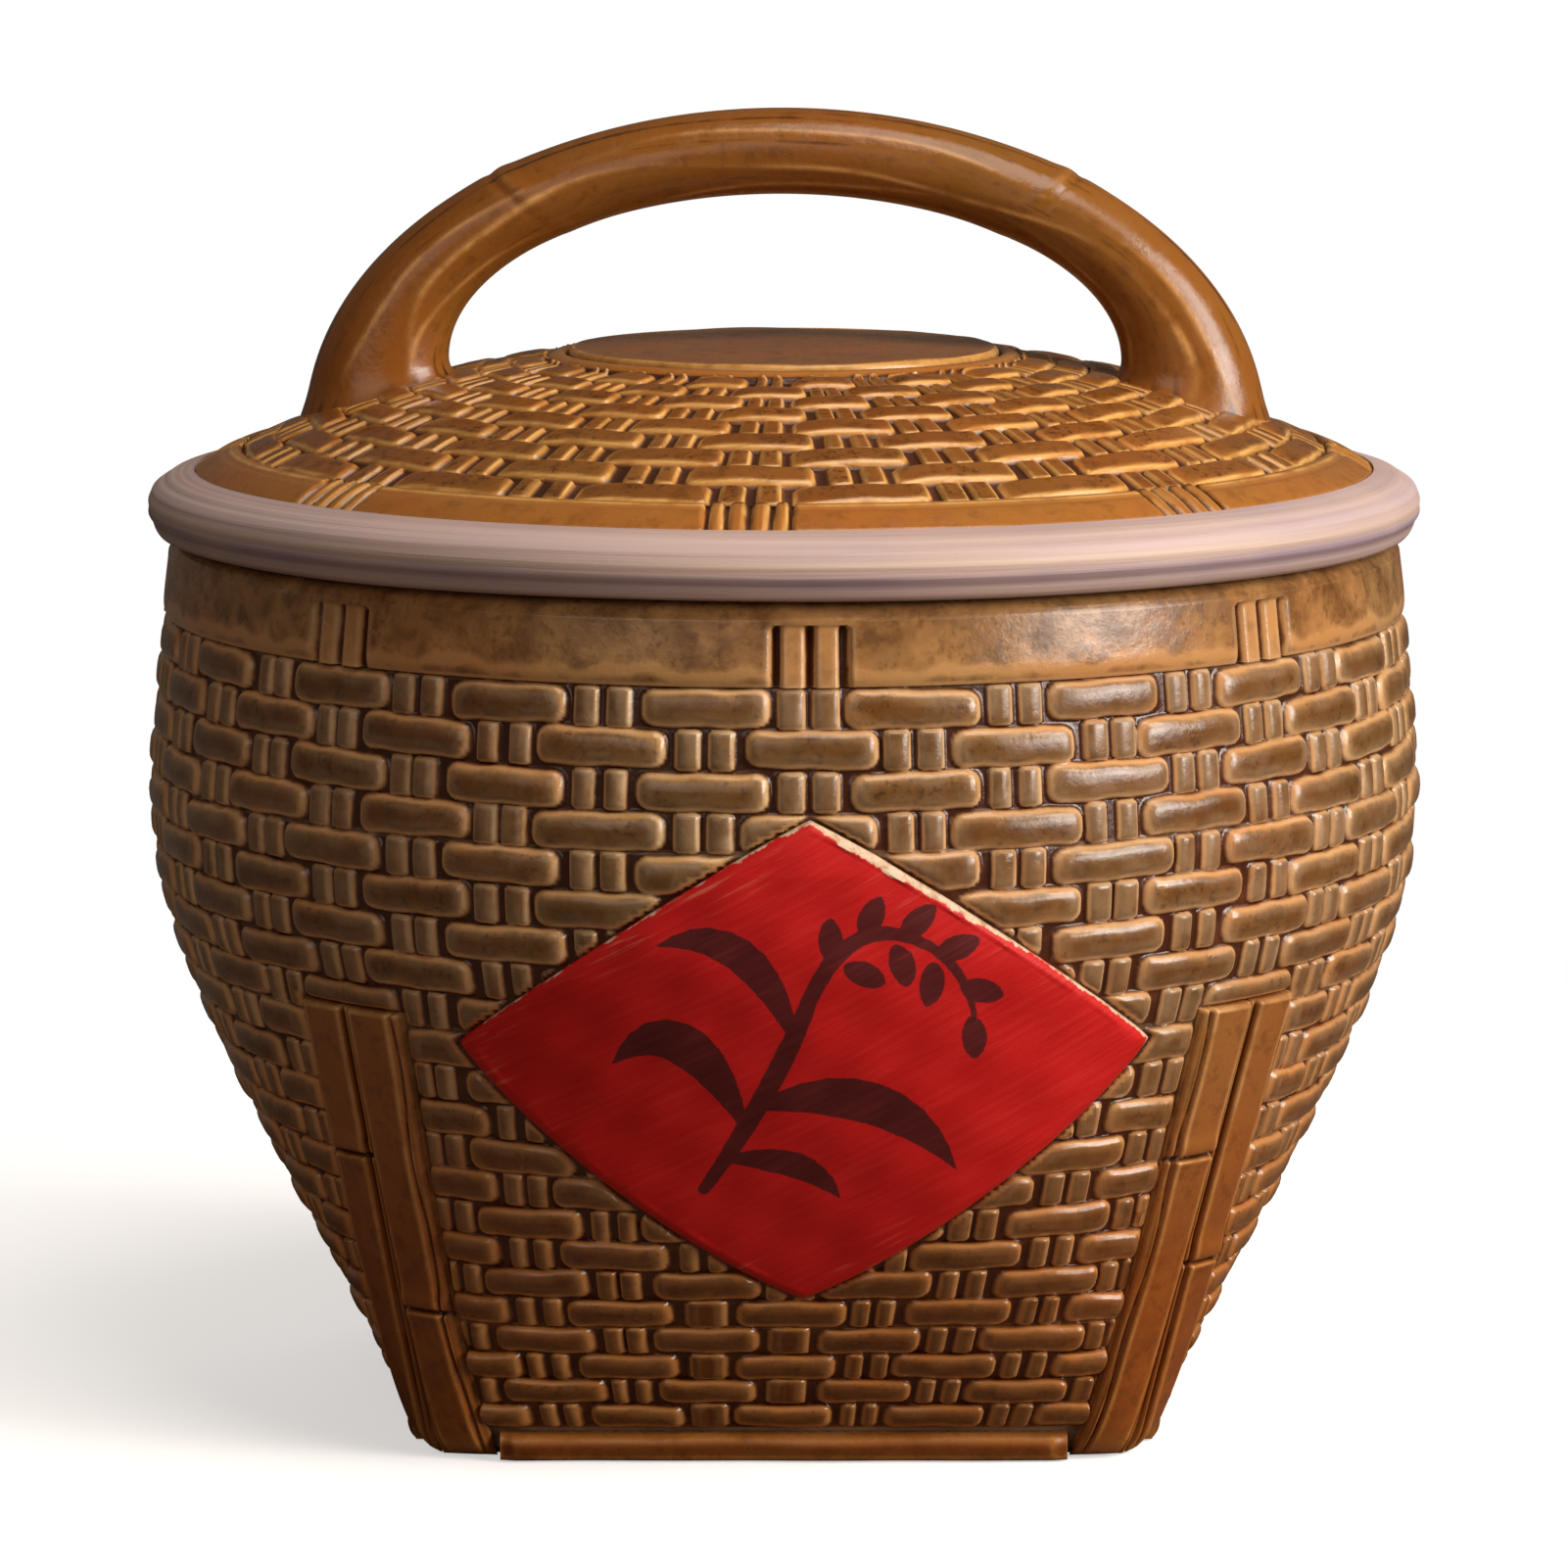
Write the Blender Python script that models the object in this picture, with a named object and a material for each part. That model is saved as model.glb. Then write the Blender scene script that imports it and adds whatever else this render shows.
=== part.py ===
"""Covered rice jar of glazed stoneware, moulded as a bamboo basket, with a lift-off lid.

The jar stands on z = 0 with its axis on Z, and its front, with the plaque, faces -Y.
Its foot is square and its mouth is round. All sizes are in metres.
"""

import math

import bmesh
import bpy
from mathutils import Matrix, Vector

# The joint line left between two clay parts.
CLEARANCE = 0.0003

# The jar's outline, measured to the tops of the weave.
FOOT_HALF = 0.0772
BELLY_HALF = 0.1401
BELLY_Z = 0.1359
RIM_HALF = 0.1345
RIM_Z = 0.1908
BAND_TALL = 0.0170
ROUND_Z = 0.1080
CORNER_INSET = 0.0016
# Share of the height up to the belly, and share of the swell from foot to belly reached there.
SWELL = (
    (0.0, 0.0),
    (0.2, 0.264),
    (0.4, 0.541),
    (0.6, 0.775),
    (0.75, 0.908),
    (0.88, 0.9805),
    (1.0, 1.0),
)
DRAW_IN = 1.3
# The foot is turned against the mouth, as the clay was when it was lifted out of its mould.
FOOT_TWIST = math.radians(-2.3)

# The wall and its woven skin.
WALL = 0.0085
WEAVE_DEPTH = 0.0030
WEAVE_STEP = 0.0014
WEAVE_COLUMNS = 40
WEAVE_ROWS = 22
SLAT_HALF = 0.39
SLAT_TALL = 0.30
ROW_TIGHTEN = 0.112
COLUMN_PINCH = 0.04
LINING_LOOPS = 4

# The floor and its foot.
FLOOR_THICK = 0.0075
FOOT_INSET = 0.0012
FOOT_EDGE = 0.0020
FOOT_WIDTH = 0.0140
FOOT_RECESS = 0.0020
FLOOR_SIDES = 40

# The bamboo strips at the corners and the rails along the foot.
TRIM_LIFT = 0.0005
STRIP_TOP = 0.1020
STRIP_WIDTH = 0.0150
STRIP_FOOT_WIDTH = 0.0120
STRIP_RISE = 0.0042
STRIP_NODE = 0.0020
STRIP_NODE_SWELL = 1.18
STRIP_LOOPS = 5
STRIP_SIDES = 7
RAIL_TOP = 0.0065
RAIL_ROUND = 0.0022
RAIL_PROUD = 0.0005
# Heights of the bamboo nodes: on each corner, the strip of each of its two faces.
NODE_HEIGHTS = (
    ("front_right", "front", 0.070, "right", 0.045),
    ("back_right", "right", 0.036, "back", 0.070),
    ("back_left", "back", 0.045, "left", 0.070),
    ("front_left", "left", 0.070, "front", 0.036),
)

# The band at the mouth and the bindings let into it.
BAND_THICK = 0.0085
BAND_ROUND = 0.0035
BAND_ROUND_DEEP = 0.0056
BAND_ROUND_STEPS = 3
BINDING_COUNT = 8
BINDING_WIDTH = 0.0160
BINDING_TALL = 0.0130
BINDING_GROOVE = 0.0022
BINDING_DEEP = 0.0040
STAKE_COUNT = 2
RIB_FULLNESS = 0.7
TURNED_SIDES = 64
SEAM_MERGE = 0.00001

# The diamond plaque on the front.
PLAQUE_Z = 0.0973
PLAQUE_HALF = 0.0710
PLAQUE_UP = 0.0497
PLAQUE_DOWN = 0.0567
PLAQUE_THICK = 0.0036
PLAQUE_BULGE_UP = 1.10
PLAQUE_BULGE_DOWN = 1.16
PLAQUE_SIDES = 28
PLAQUE_RINGS = (1.0, 0.75, 0.5, 0.25)
PLAQUE_EDGE = 0.0010

# The lid, turned a little against the jar as it was put down.
LID_TURN = math.radians(-5.5)
LID_LIP_Z = RIM_Z + CLEARANCE
LIP_TALL = 0.0139
LIP_OVERHANG = 0.0005
LIP_RIDGE_OUT = 0.0043
LIP_RIDGE_UP = 0.0058
LIP_SHOULDER_OUT = 0.0030
LIP_SHOULDER_UP = 0.0092
LIP_ROLL = 0.0005
LIP_SHELF = 0.0064
BORDER_WIDTH = 0.0100
BORDER_SEAT = 0.0050
DOME_RISE = 0.0275
DOME_POWER = 2.5
DOME_THICK = 0.0070
DOME_REST = 0.0065
DOME_COLUMNS = 32
DOME_ROWS = 9
DOME_STEP = 0.0011
DOME_LINING_LOOPS = 3
CROWN_RADIUS = 0.0470
CROWN_PLAIN = 0.0050
CROWN_LIFT = 0.0008
CROWN_ARCH = 0.0017
CROWN_ROUND = 0.0015
FLANGE_PLAY = 0.0025
FLANGE_THICK = 0.0060
FLANGE_DEEP = 0.0120
LID_BINDING_WIDTH = 0.0180
LID_BINDING_DEEP = 0.0030
LID_BINDING_GROOVE = 0.0016
LID_STAKE_COUNT = 4

# The bamboo handle: an arch between an outer and an inner half ellipse.
HANDLE_RISE = 0.0782
HANDLE_THICK = 0.0190
HANDLE_INSET = 0.0131
HANDLE_FOOT = 0.0320
HANDLE_OUTER_SPRING = 0.0070
HANDLE_INNER_SPRING = 0.0230
HANDLE_DEPTH = 0.0225
HANDLE_FOOT_DEPTH = 0.0270
HANDLE_NODE_SWELL = 1.05
HANDLE_NODE_SPREAD = 0.012
HANDLE_NODE_AT = 0.30
HANDLE_SIDES = 12
HANDLE_LOOPS = 24
HANDLE_SEAT = 0.0004
PAD_MARGIN = 0.0040

FRONT = -math.pi / 2
COLUMNS_PER_FACE = WEAVE_COLUMNS // 4
BAND_Z = RIM_Z - BAND_TALL
MOUTH_RADIUS = RIM_HALF - BAND_THICK
FLANGE_RADIUS = MOUTH_RADIUS - FLANGE_PLAY
LIP_RADIUS = RIM_HALF + LIP_OVERHANG
BORDER_RADIUS = LIP_RADIUS - LIP_SHELF
BORDER_Z = LID_LIP_Z + LIP_TALL
SEAT_Z = BORDER_Z - BORDER_SEAT
DOME_RADIUS = BORDER_RADIUS - BORDER_WIDTH
HANDLE_TOP = BORDER_Z + HANDLE_RISE
HANDLE_OUTER_Z = BORDER_Z + HANDLE_OUTER_SPRING
HANDLE_INNER_Z = BORDER_Z + HANDLE_INNER_SPRING
HANDLE_REACH = DOME_RADIUS - HANDLE_INSET


def smooth_through(points, at):
    """A curve through the points that never overshoots between two of them."""
    slopes = [(b[1] - a[1]) / (b[0] - a[0]) for a, b in zip(points, points[1:])]
    bends = [2 * a * b / (a + b) if a * b > 0 else 0 for a, b in zip(slopes, slopes[1:])]
    tangents = [slopes[0], *bends, slopes[-1]]
    for index, (left, right) in enumerate(zip(points, points[1:])):
        if at <= right[0] or right is points[-1]:
            span = right[0] - left[0]
            share = (at - left[0]) / span
            keep = (1 + 2 * share) * (1 - share) ** 2
            rise = share * (1 - share) ** 2 * span * tangents[index]
            fall = share**2 * (share - 1) * span * tangents[index + 1]
            return left[1] * keep + right[1] * (1 - keep) + rise + fall


def half_width(z):
    """Half the jar's width at a height, to the tops of the weave."""
    if z <= BELLY_Z:
        return FOOT_HALF + (BELLY_HALF - FOOT_HALF) * smooth_through(SWELL, z / BELLY_Z)
    share = (z - BELLY_Z) / (RIM_Z - BELLY_Z)
    return BELLY_HALF - (BELLY_HALF - RIM_HALF) * share**DRAW_IN


def roundness(z):
    return min(max(z / ROUND_Z, 0.0), 1.0)


def squareness(z):
    """Exponent of the superellipse at a height: 2 is a circle, more is a square."""
    if z >= ROUND_Z:
        return 2.0
    foot_corner = FOOT_HALF - CORNER_INSET
    round_corner = half_width(ROUND_Z) / math.sqrt(2)
    corner = foot_corner + (round_corner - foot_corner) * roundness(z)
    return max(2.0, math.log(2) / math.log(half_width(z) / corner))


def radius(z, angle, offset=0.0):
    """Distance from the axis to the jar's skin, moved out by the offset."""
    power = squareness(z)
    spread = abs(math.cos(angle)) ** power + abs(math.sin(angle)) ** power
    return (half_width(z) + offset) * spread ** (-1 / power)


def skin_point(z, angle, offset=0.0):
    reach = radius(z, angle, offset)
    return Vector((reach * math.cos(angle), reach * math.sin(angle), z))


def twisted(point):
    """The point turned with the foot, less and less up to the height where the jar is round."""
    return Matrix.Rotation(FOOT_TWIST * (1 - roundness(point.z)), 3, "Z") @ point


def twisted_loops(loops):
    return [[twisted(point) for point in loop] for loop in loops]


def front_point(x, z, offset):
    """The point of the jar's front face at x and z, moved out by the offset."""
    half = half_width(z) + offset
    power = squareness(z)
    lead = x
    for _ in range(6):
        depth = half * (1 - abs(lead / half) ** power) ** (1 / power)
        point = twisted(Vector((lead, -depth, z)))
        lead += x - point.x
    return point


def column_angle(column, z):
    """Direction of a weave column, counted round from the middle of the front."""
    face = round(column / COLUMNS_PER_FACE)
    local = column - face * COLUMNS_PER_FACE
    share = abs(local) / (COLUMNS_PER_FACE / 2)
    pinch = COLUMN_PINCH * 4 * roundness(z) * (1 - roundness(z))
    along = share - pinch * (share - share**4)
    square_angle = math.atan(along)
    round_angle = along * math.pi / 4
    turn = square_angle + (round_angle - square_angle) * roundness(z)
    return FRONT + face * math.pi / 2 + math.copysign(turn, local)


def row_height(row):
    """Height of a place in the weave, counted down in rows from the band."""
    top = BAND_Z - CLEARANCE
    bottom = FLOOR_THICK + CLEARANCE
    share = row / WEAVE_ROWS
    return top - (top - bottom) * ((1 + ROW_TIGHTEN) * share - ROW_TIGHTEN * share**3)


def dome_height(reach):
    """Height of the lid's outer surface at a distance from the axis."""
    return BORDER_Z + DOME_RISE * (1 - (reach / BORDER_RADIUS) ** DOME_POWER)


def clear_scene():
    for thing in list(bpy.data.objects):
        bpy.data.objects.remove(thing, do_unlink=True)


def finish(name, colour, roughness):
    material = bpy.data.materials.new(name)
    material.use_nodes = True
    shader = material.node_tree.nodes["Principled BSDF"]
    shader.inputs["Base Color"].default_value = (*colour, 1.0)
    shader.inputs["Roughness"].default_value = roughness
    shader.inputs["Metallic"].default_value = 0.0
    return material


def add_object(name, bm, material=None, parent=None):
    mesh = bpy.data.meshes.new(name)
    bm.to_mesh(mesh)
    bm.free()
    mesh.shade_smooth()
    mesh.set_sharp_from_angle(angle=math.radians(35))
    piece = bpy.data.objects.new(name, mesh)
    bpy.context.scene.collection.objects.link(piece)
    piece.parent = parent
    if material:
        mesh.materials.append(material)
    else:
        piece.hide_render = True
        piece.display_type = "WIRE"
    return piece


def from_axis(point):
    return math.hypot(point.x, point.y)


def height(point):
    return point.z


def loft(loops, ring, level=None):
    """Joins loops of points into one closed body: a ring closes on itself, a bar is capped.

    Each four-sided field is split the same way or, where a level is given, along its valley.
    """
    bm = bmesh.new()
    rows = [[bm.verts.new(point) for point in loop] for loop in loops]
    pairs = list(zip(rows, rows[1:]))
    if ring:
        pairs.append((rows[-1], rows[0]))
    else:
        bm.faces.new(rows[0])
        bm.faces.new(rows[-1])
    for low, high in pairs:
        for index in range(len(low)):
            before = index - 1
            a, b, c, d = low[before], low[index], high[index], high[before]
            if level and level(a.co) + level(c.co) > level(b.co) + level(d.co):
                a, b, c, d = b, c, d, a
            bm.faces.new((a, b, c))
            bm.faces.new((a, c, d))
    bmesh.ops.recalc_face_normals(bm, faces=bm.faces)
    return bm


def turn_profile(name, profile, material, parent=None):
    """A turned piece: the profile runs down its outer side and back up inside."""
    bm = bmesh.new()
    corners = [bm.verts.new((reach, 0.0, z)) for reach, z in profile]
    for before, after in zip(corners, corners[1:]):
        bm.edges.new((before, after))
    closed = profile[0][0] > 0
    if closed:
        bm.edges.new((corners[-1], corners[0]))
    piece = add_object(name, bm, material, parent)
    screw = piece.modifiers.new("Turning", "SCREW")
    screw.steps = TURNED_SIDES
    screw.render_steps = TURNED_SIDES
    screw.use_merge_vertices = True
    screw.merge_threshold = SEAM_MERGE
    screw.use_smooth_shade = True
    return piece


def cut(piece, cutter):
    pocket = piece.modifiers.new("Pocket for " + cutter.name, "BOOLEAN")
    pocket.operation = "DIFFERENCE"
    pocket.solver = "EXACT"
    pocket.object = cutter


def turned_copy(loops, angle):
    turn = Matrix.Rotation(angle, 3, "Z")
    return [[turn @ point for point in loop] for loop in loops]


def wall_loops():
    """Loops of the wall: up the woven skin, then down the plain lining."""
    columns = [n + side for n in range(WEAVE_COLUMNS) for side in (-SLAT_HALF, SLAT_HALF)]
    columns += [(quarter + 0.5) * COLUMNS_PER_FACE for quarter in range(4)]
    columns.sort()
    loops = [[skin_point(row_height(WEAVE_ROWS), column_angle(c, 0.0), -WEAVE_DEPTH) for c in columns]]
    for row in range(WEAVE_ROWS, 0, -1):
        for side in (SLAT_TALL, -SLAT_TALL):
            z = row_height(row - 0.5 + side)
            loop = []
            for column in columns:
                raised = (round(column) + row) % 2 == 0
                offset = 0.0 if raised else -WEAVE_STEP
                loop.append(skin_point(z, column_angle(column, z), offset))
            loops.append(loop)
    top = row_height(0)
    loops.append([skin_point(top, column_angle(c, top), -WEAVE_STEP) for c in columns])
    for step in range(LINING_LOOPS):
        z = top + (row_height(WEAVE_ROWS) - top) * step / (LINING_LOOPS - 1)
        loops.append([skin_point(z, column_angle(c, z), -WEAVE_DEPTH - WALL) for c in columns])
    return loops


def floor_loops():
    """Loops of the floor: its top edge, its side, the foot ring and the recess inside that."""
    outer = -WEAVE_DEPTH - FOOT_INSET
    places = (
        (FLOOR_THICK, outer),
        (FOOT_EDGE, outer),
        (0.0, outer - FOOT_EDGE),
        (0.0, outer - FOOT_WIDTH),
        (FOOT_RECESS, outer - FOOT_WIDTH - FOOT_RECESS),
    )
    angles = [2 * math.pi * side / FLOOR_SIDES for side in range(FLOOR_SIDES)]
    return [[skin_point(z, angle, offset) for angle in angles] for z, offset in places]


def strip_inner_angle(z):
    """Direction of the strip's edge that lies one strip width along the face from the corner."""
    width = STRIP_FOOT_WIDTH + (STRIP_WIDTH - STRIP_FOOT_WIDTH) * z / STRIP_TOP
    corner = skin_point(z, math.pi / 4, -WEAVE_DEPTH)
    low, high = 0.0, math.pi / 4
    for _ in range(40):
        middle = (low + high) / 2
        if (skin_point(z, middle, -WEAVE_DEPTH) - corner).length > width:
            low = middle
        else:
            high = middle
    return low


def strip_loops(node_z, grow=0.0):
    """Loops of the half-round strip beside the corner at 45 degrees, on the +X face."""
    heights = [TRIM_LIFT + (STRIP_TOP - TRIM_LIFT) * n / STRIP_LOOPS for n in range(STRIP_LOOPS + 1)]
    heights += [node_z - STRIP_NODE, node_z, node_z + STRIP_NODE]
    loops = []
    for z in sorted(heights):
        corner = skin_point(z, math.pi / 4, -WEAVE_DEPTH)
        inner = skin_point(z, strip_inner_angle(z), -WEAVE_DEPTH)
        along = (inner - corner).normalized()
        outward = Vector((-along.y, along.x, 0.0))
        if outward.dot(corner) < 0:
            outward = -outward
        start = corner + along * (CLEARANCE - grow)
        reach = (inner - corner).length - CLEARANCE + 2 * grow
        rise = STRIP_RISE * (STRIP_NODE_SWELL if abs(z - node_z) < STRIP_NODE / 2 else 1.0)
        if grow:
            start = start - outward * grow
            rise = rise * 2
        if z == heights[0]:
            z -= 2 * grow
        if z == heights[STRIP_LOOPS]:
            z += grow
        loop = []
        for side in range(STRIP_SIDES):
            turn = math.pi * side / (STRIP_SIDES - 1)
            across = reach * (1 - math.cos(turn)) / 2
            point = start + along * across + outward * (rise * math.sin(turn))
            if grow and 0 < side < STRIP_SIDES - 1:
                point = start + along * across + outward * rise
            loop.append(Vector((point.x, point.y, z)))
        loops.append(loop)
    return loops


def mirrored(loops):
    """The same loops on the other side of the corner's diagonal."""
    return [[Vector((point.y, point.x, point.z)) for point in loop] for loop in loops]


def add_strips(material, wall, floor):
    for quarter, (corner, first, first_z, second, second_z) in enumerate(NODE_HEIGHTS):
        angle = -math.pi / 2 + quarter * math.pi / 2
        for face, node_z, other in ((first, first_z, False), (second, second_z, True)):
            loops = strip_loops(node_z)
            pocket = strip_loops(node_z, CLEARANCE)
            if other:
                loops = mirrored(loops)
                pocket = mirrored(pocket)
            name = "corner_strip_" + corner + "_" + face
            loops = twisted_loops(turned_copy(loops, angle))
            pocket = twisted_loops(turned_copy(pocket, angle))
            add_object(name, loft(loops, False), material)
            cutter = add_object("pocket_" + name, loft(pocket, False))
            cut(wall, cutter)
            cut(floor, cutter)


def add_rails(material):
    """A rounded bar along the foot of each face, between its corner strips."""
    back = half_width(RAIL_TOP) - WEAVE_DEPTH - FOOT_INSET + CLEARANCE
    front = half_width(RAIL_TOP) + RAIL_PROUD
    tall = RAIL_TOP - TRIM_LIFT
    ends = [skin_point(z, strip_inner_angle(z), -WEAVE_DEPTH).y for z in (TRIM_LIFT, RAIL_TOP)]
    half = min(ends) - 2 * CLEARANCE
    twist = FOOT_TWIST * (1 - roundness(RAIL_TOP / 2))
    for quarter, face in enumerate(("front", "right", "back", "left")):
        bm = bmesh.new()
        size = Matrix.Diagonal((2 * half, front - back, tall, 1.0))
        place = Matrix.Translation((0.0, -(front + back) / 2, TRIM_LIFT + tall / 2))
        turn = Matrix.Rotation(quarter * math.pi / 2 + twist, 4, "Z")
        bmesh.ops.create_cube(bm, size=1.0, matrix=turn @ place @ size)
        rail = add_object("foot_rail_" + face, bm, material)
        outward = turn.to_3x3() @ Vector((0.0, -1.0, 0.0))
        weight = rail.data.attributes.new("bevel_weight_edge", "FLOAT", "EDGE")
        for edge_index, rail_edge in enumerate(rail.data.edges):
            ends = [rail.data.vertices[v].co.dot(outward) for v in rail_edge.vertices]
            weight.data[edge_index].value = 1.0 if min(ends) > (front + back) / 2 else 0.0
        bevel = rail.modifiers.new("Rounding", "BEVEL")
        bevel.limit_method = "WEIGHT"
        bevel.width = RAIL_ROUND
        bevel.segments = 3


def add_band(material):
    """The plain band at the mouth, rounded over at the top."""
    profile = [(MOUTH_RADIUS, RIM_Z)]
    for step in range(BAND_ROUND_STEPS + 1):
        turn = math.pi / 2 * step / BAND_ROUND_STEPS
        z = RIM_Z - BAND_ROUND * (1 - math.cos(turn))
        profile.append((half_width(z) - BAND_ROUND_DEEP * (1 - math.sin(turn)), z))
    profile.append((half_width(BAND_Z), BAND_Z))
    profile.append((MOUTH_RADIUS, BAND_Z))
    return turn_profile("mouth_band", profile, material)


def ribbed(x, width, stakes, groove):
    """Depth of a ribbed face below its tops, at x across its width."""
    return groove * (1 - abs(math.sin(math.pi * stakes * (x / width + 0.5))) ** RIB_FULLNESS)


def band_binding_loops(grow=0.0):
    """The stakes bound over the band, at the middle of the front."""
    steps = 6 * STAKE_COUNT
    loops = []
    for z in (BAND_Z + CLEARANCE - 3 * grow, BAND_Z + BINDING_TALL + grow):
        face = half_width(z)
        half = BINDING_WIDTH / 2 + grow
        loop = []
        for step in range(steps + 1):
            x = half * (2 * step / steps - 1)
            depth = ribbed(x, 2 * half, STAKE_COUNT, BINDING_GROOVE)
            if grow:
                depth = -BINDING_GROOVE
            loop.append(Vector((x, depth - math.sqrt(face**2 - x**2), z)))
        back = -face + BINDING_DEEP + grow
        loop.append(Vector((half, back, z)))
        loop.append(Vector((-half, back, z)))
        loops.append(loop)
    return loops


def lid_binding_loops(grow=0.0):
    """The stakes bound over the lid's border, at the middle of the front."""
    steps = 3 * LID_STAKE_COUNT
    inner = BORDER_RADIUS - BORDER_WIDTH + CLEARANCE - 4 * grow
    outer = BORDER_RADIUS - CLEARANCE + 4 * grow
    half = LID_BINDING_WIDTH / 2 + grow
    loops = []
    for reach in (inner, outer):
        loop = []
        for step in range(steps + 1):
            x = half * (2 * step / steps - 1)
            y = -math.sqrt(reach**2 - x**2)
            depth = ribbed(x, 2 * half, LID_STAKE_COUNT, LID_BINDING_GROOVE)
            if grow:
                depth = -LID_BINDING_GROOVE
            loop.append(Vector((x, y, dome_height(reach) - depth)))
        y = -math.sqrt(reach**2 - half**2)
        low = dome_height(reach) - LID_BINDING_DEEP - grow
        loop.append(Vector((half, y, low)))
        loop.append(Vector((-half, y, low)))
        loops.append(loop)
    return loops


def add_bindings(prefix, loops_of, holder, material, parent=None):
    for number in range(BINDING_COUNT):
        angle = 2 * math.pi * number / BINDING_COUNT
        name = f"{prefix}_{number + 1}"
        add_object(name, loft(turned_copy(loops_of(), angle), False), material, parent)
        pocket = loft(turned_copy(loops_of(CLEARANCE), angle), False)
        cut(holder, add_object("pocket_" + name, pocket, None, parent))


def plaque_outline(turn, grow):
    """The plaque's edge in its own direction: a diamond whose sides swell a little."""
    up = math.sin(turn) >= 0
    tall = (PLAQUE_UP if up else PLAQUE_DOWN) + grow
    wide = PLAQUE_HALF + grow
    power = PLAQUE_BULGE_UP if up else PLAQUE_BULGE_DOWN
    spread = abs(math.cos(turn) / wide) ** power + abs(math.sin(turn) / tall) ** power
    reach = spread ** (-1 / power)
    return reach * math.cos(turn), reach * math.sin(turn)


def plaque_loops(inner, outer, grow, edge):
    """Loops from the middle of the back, over the edge, to the middle of the front."""
    turns = [2 * math.pi * side / PLAQUE_SIDES for side in range(PLAQUE_SIDES)]
    edges = [plaque_outline(turn, grow) for turn in turns]
    loops = []
    for share in reversed(PLAQUE_RINGS):
        loops.append([front_point(x * share, PLAQUE_Z + z * share, inner) for x, z in edges])
    loops.append([front_point(x, PLAQUE_Z + z, outer - edge) for x, z in edges])
    for share in PLAQUE_RINGS[1:]:
        loops.append([front_point(x * share, PLAQUE_Z + z * share, outer) for x, z in edges])
    return loops


def add_plaque(material, wall):
    back = -WEAVE_DEPTH
    face = back + PLAQUE_THICK
    add_object("plaque", loft(plaque_loops(back, face, 0.0, PLAQUE_EDGE), False), material)
    pocket = plaque_loops(back - CLEARANCE, face + PLAQUE_THICK, CLEARANCE, 0.0)
    cut(wall, add_object("pocket_plaque", loft(pocket, False)))


def lip_profile():
    """The lid's bare clay lip: a shoulder, a ridge and a drip edge, rebated for the border."""
    inner = DOME_RADIUS - CLEARANCE - DOME_REST
    ridge = LIP_RADIUS + LIP_RIDGE_OUT
    return [
        (BORDER_RADIUS + CLEARANCE, BORDER_Z),
        (LIP_RADIUS + LIP_SHOULDER_OUT, LID_LIP_Z + LIP_SHOULDER_UP),
        (ridge - LIP_ROLL, (LID_LIP_Z * 2 + LIP_SHOULDER_UP + LIP_RIDGE_UP) / 2 + LIP_ROLL),
        (ridge, LID_LIP_Z + LIP_RIDGE_UP),
        (ridge - LIP_ROLL, LID_LIP_Z + LIP_RIDGE_UP / 2),
        (LIP_RADIUS + LIP_ROLL * 3, LID_LIP_Z + LIP_RIDGE_UP / 4),
        (LIP_RADIUS, LID_LIP_Z),
        (inner, LID_LIP_Z),
        (inner, SEAT_Z),
        (BORDER_RADIUS + CLEARANCE, SEAT_Z),
    ]


def border_profile():
    outer = BORDER_RADIUS
    inner = DOME_RADIUS
    middle = (outer + inner) / 2
    return [
        (outer, dome_height(outer)),
        (outer, SEAT_Z + CLEARANCE),
        (inner, SEAT_Z + CLEARANCE),
        (inner, dome_height(inner)),
        (middle, dome_height(middle)),
    ]


def flange_profile():
    top = LID_LIP_Z - CLEARANCE
    inner = FLANGE_RADIUS - FLANGE_THICK
    return [
        (FLANGE_RADIUS, top),
        (FLANGE_RADIUS, top - FLANGE_DEEP + FLANGE_THICK / 3),
        (FLANGE_RADIUS - FLANGE_THICK / 3, top - FLANGE_DEEP),
        (inner, top - FLANGE_DEEP),
        (inner, top),
    ]


def crown_profile():
    """The plain disc at the lid's middle, closed on the axis."""
    edge_z = dome_height(CROWN_RADIUS) + CROWN_LIFT
    return [
        (0.0, edge_z + CROWN_ARCH),
        (CROWN_RADIUS / 2, edge_z + CROWN_ARCH * (1 - 0.5**2)),
        (CROWN_RADIUS - CROWN_ROUND, edge_z),
        (CROWN_RADIUS, edge_z - CROWN_ROUND),
        (CROWN_RADIUS, edge_z - CROWN_LIFT - DOME_THICK),
        (0.0, edge_z - CROWN_LIFT - DOME_THICK),
    ]


def under_handle_foot(x, y):
    """Whether a place on the dome carries a foot of the handle."""
    foot_middle = HANDLE_REACH - HANDLE_FOOT / 2
    along = (abs(x) - foot_middle) / (HANDLE_FOOT / 2 + PAD_MARGIN)
    across = y / (HANDLE_FOOT_DEPTH / 2 + PAD_MARGIN)
    return along**2 + across**2 < 1


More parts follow.
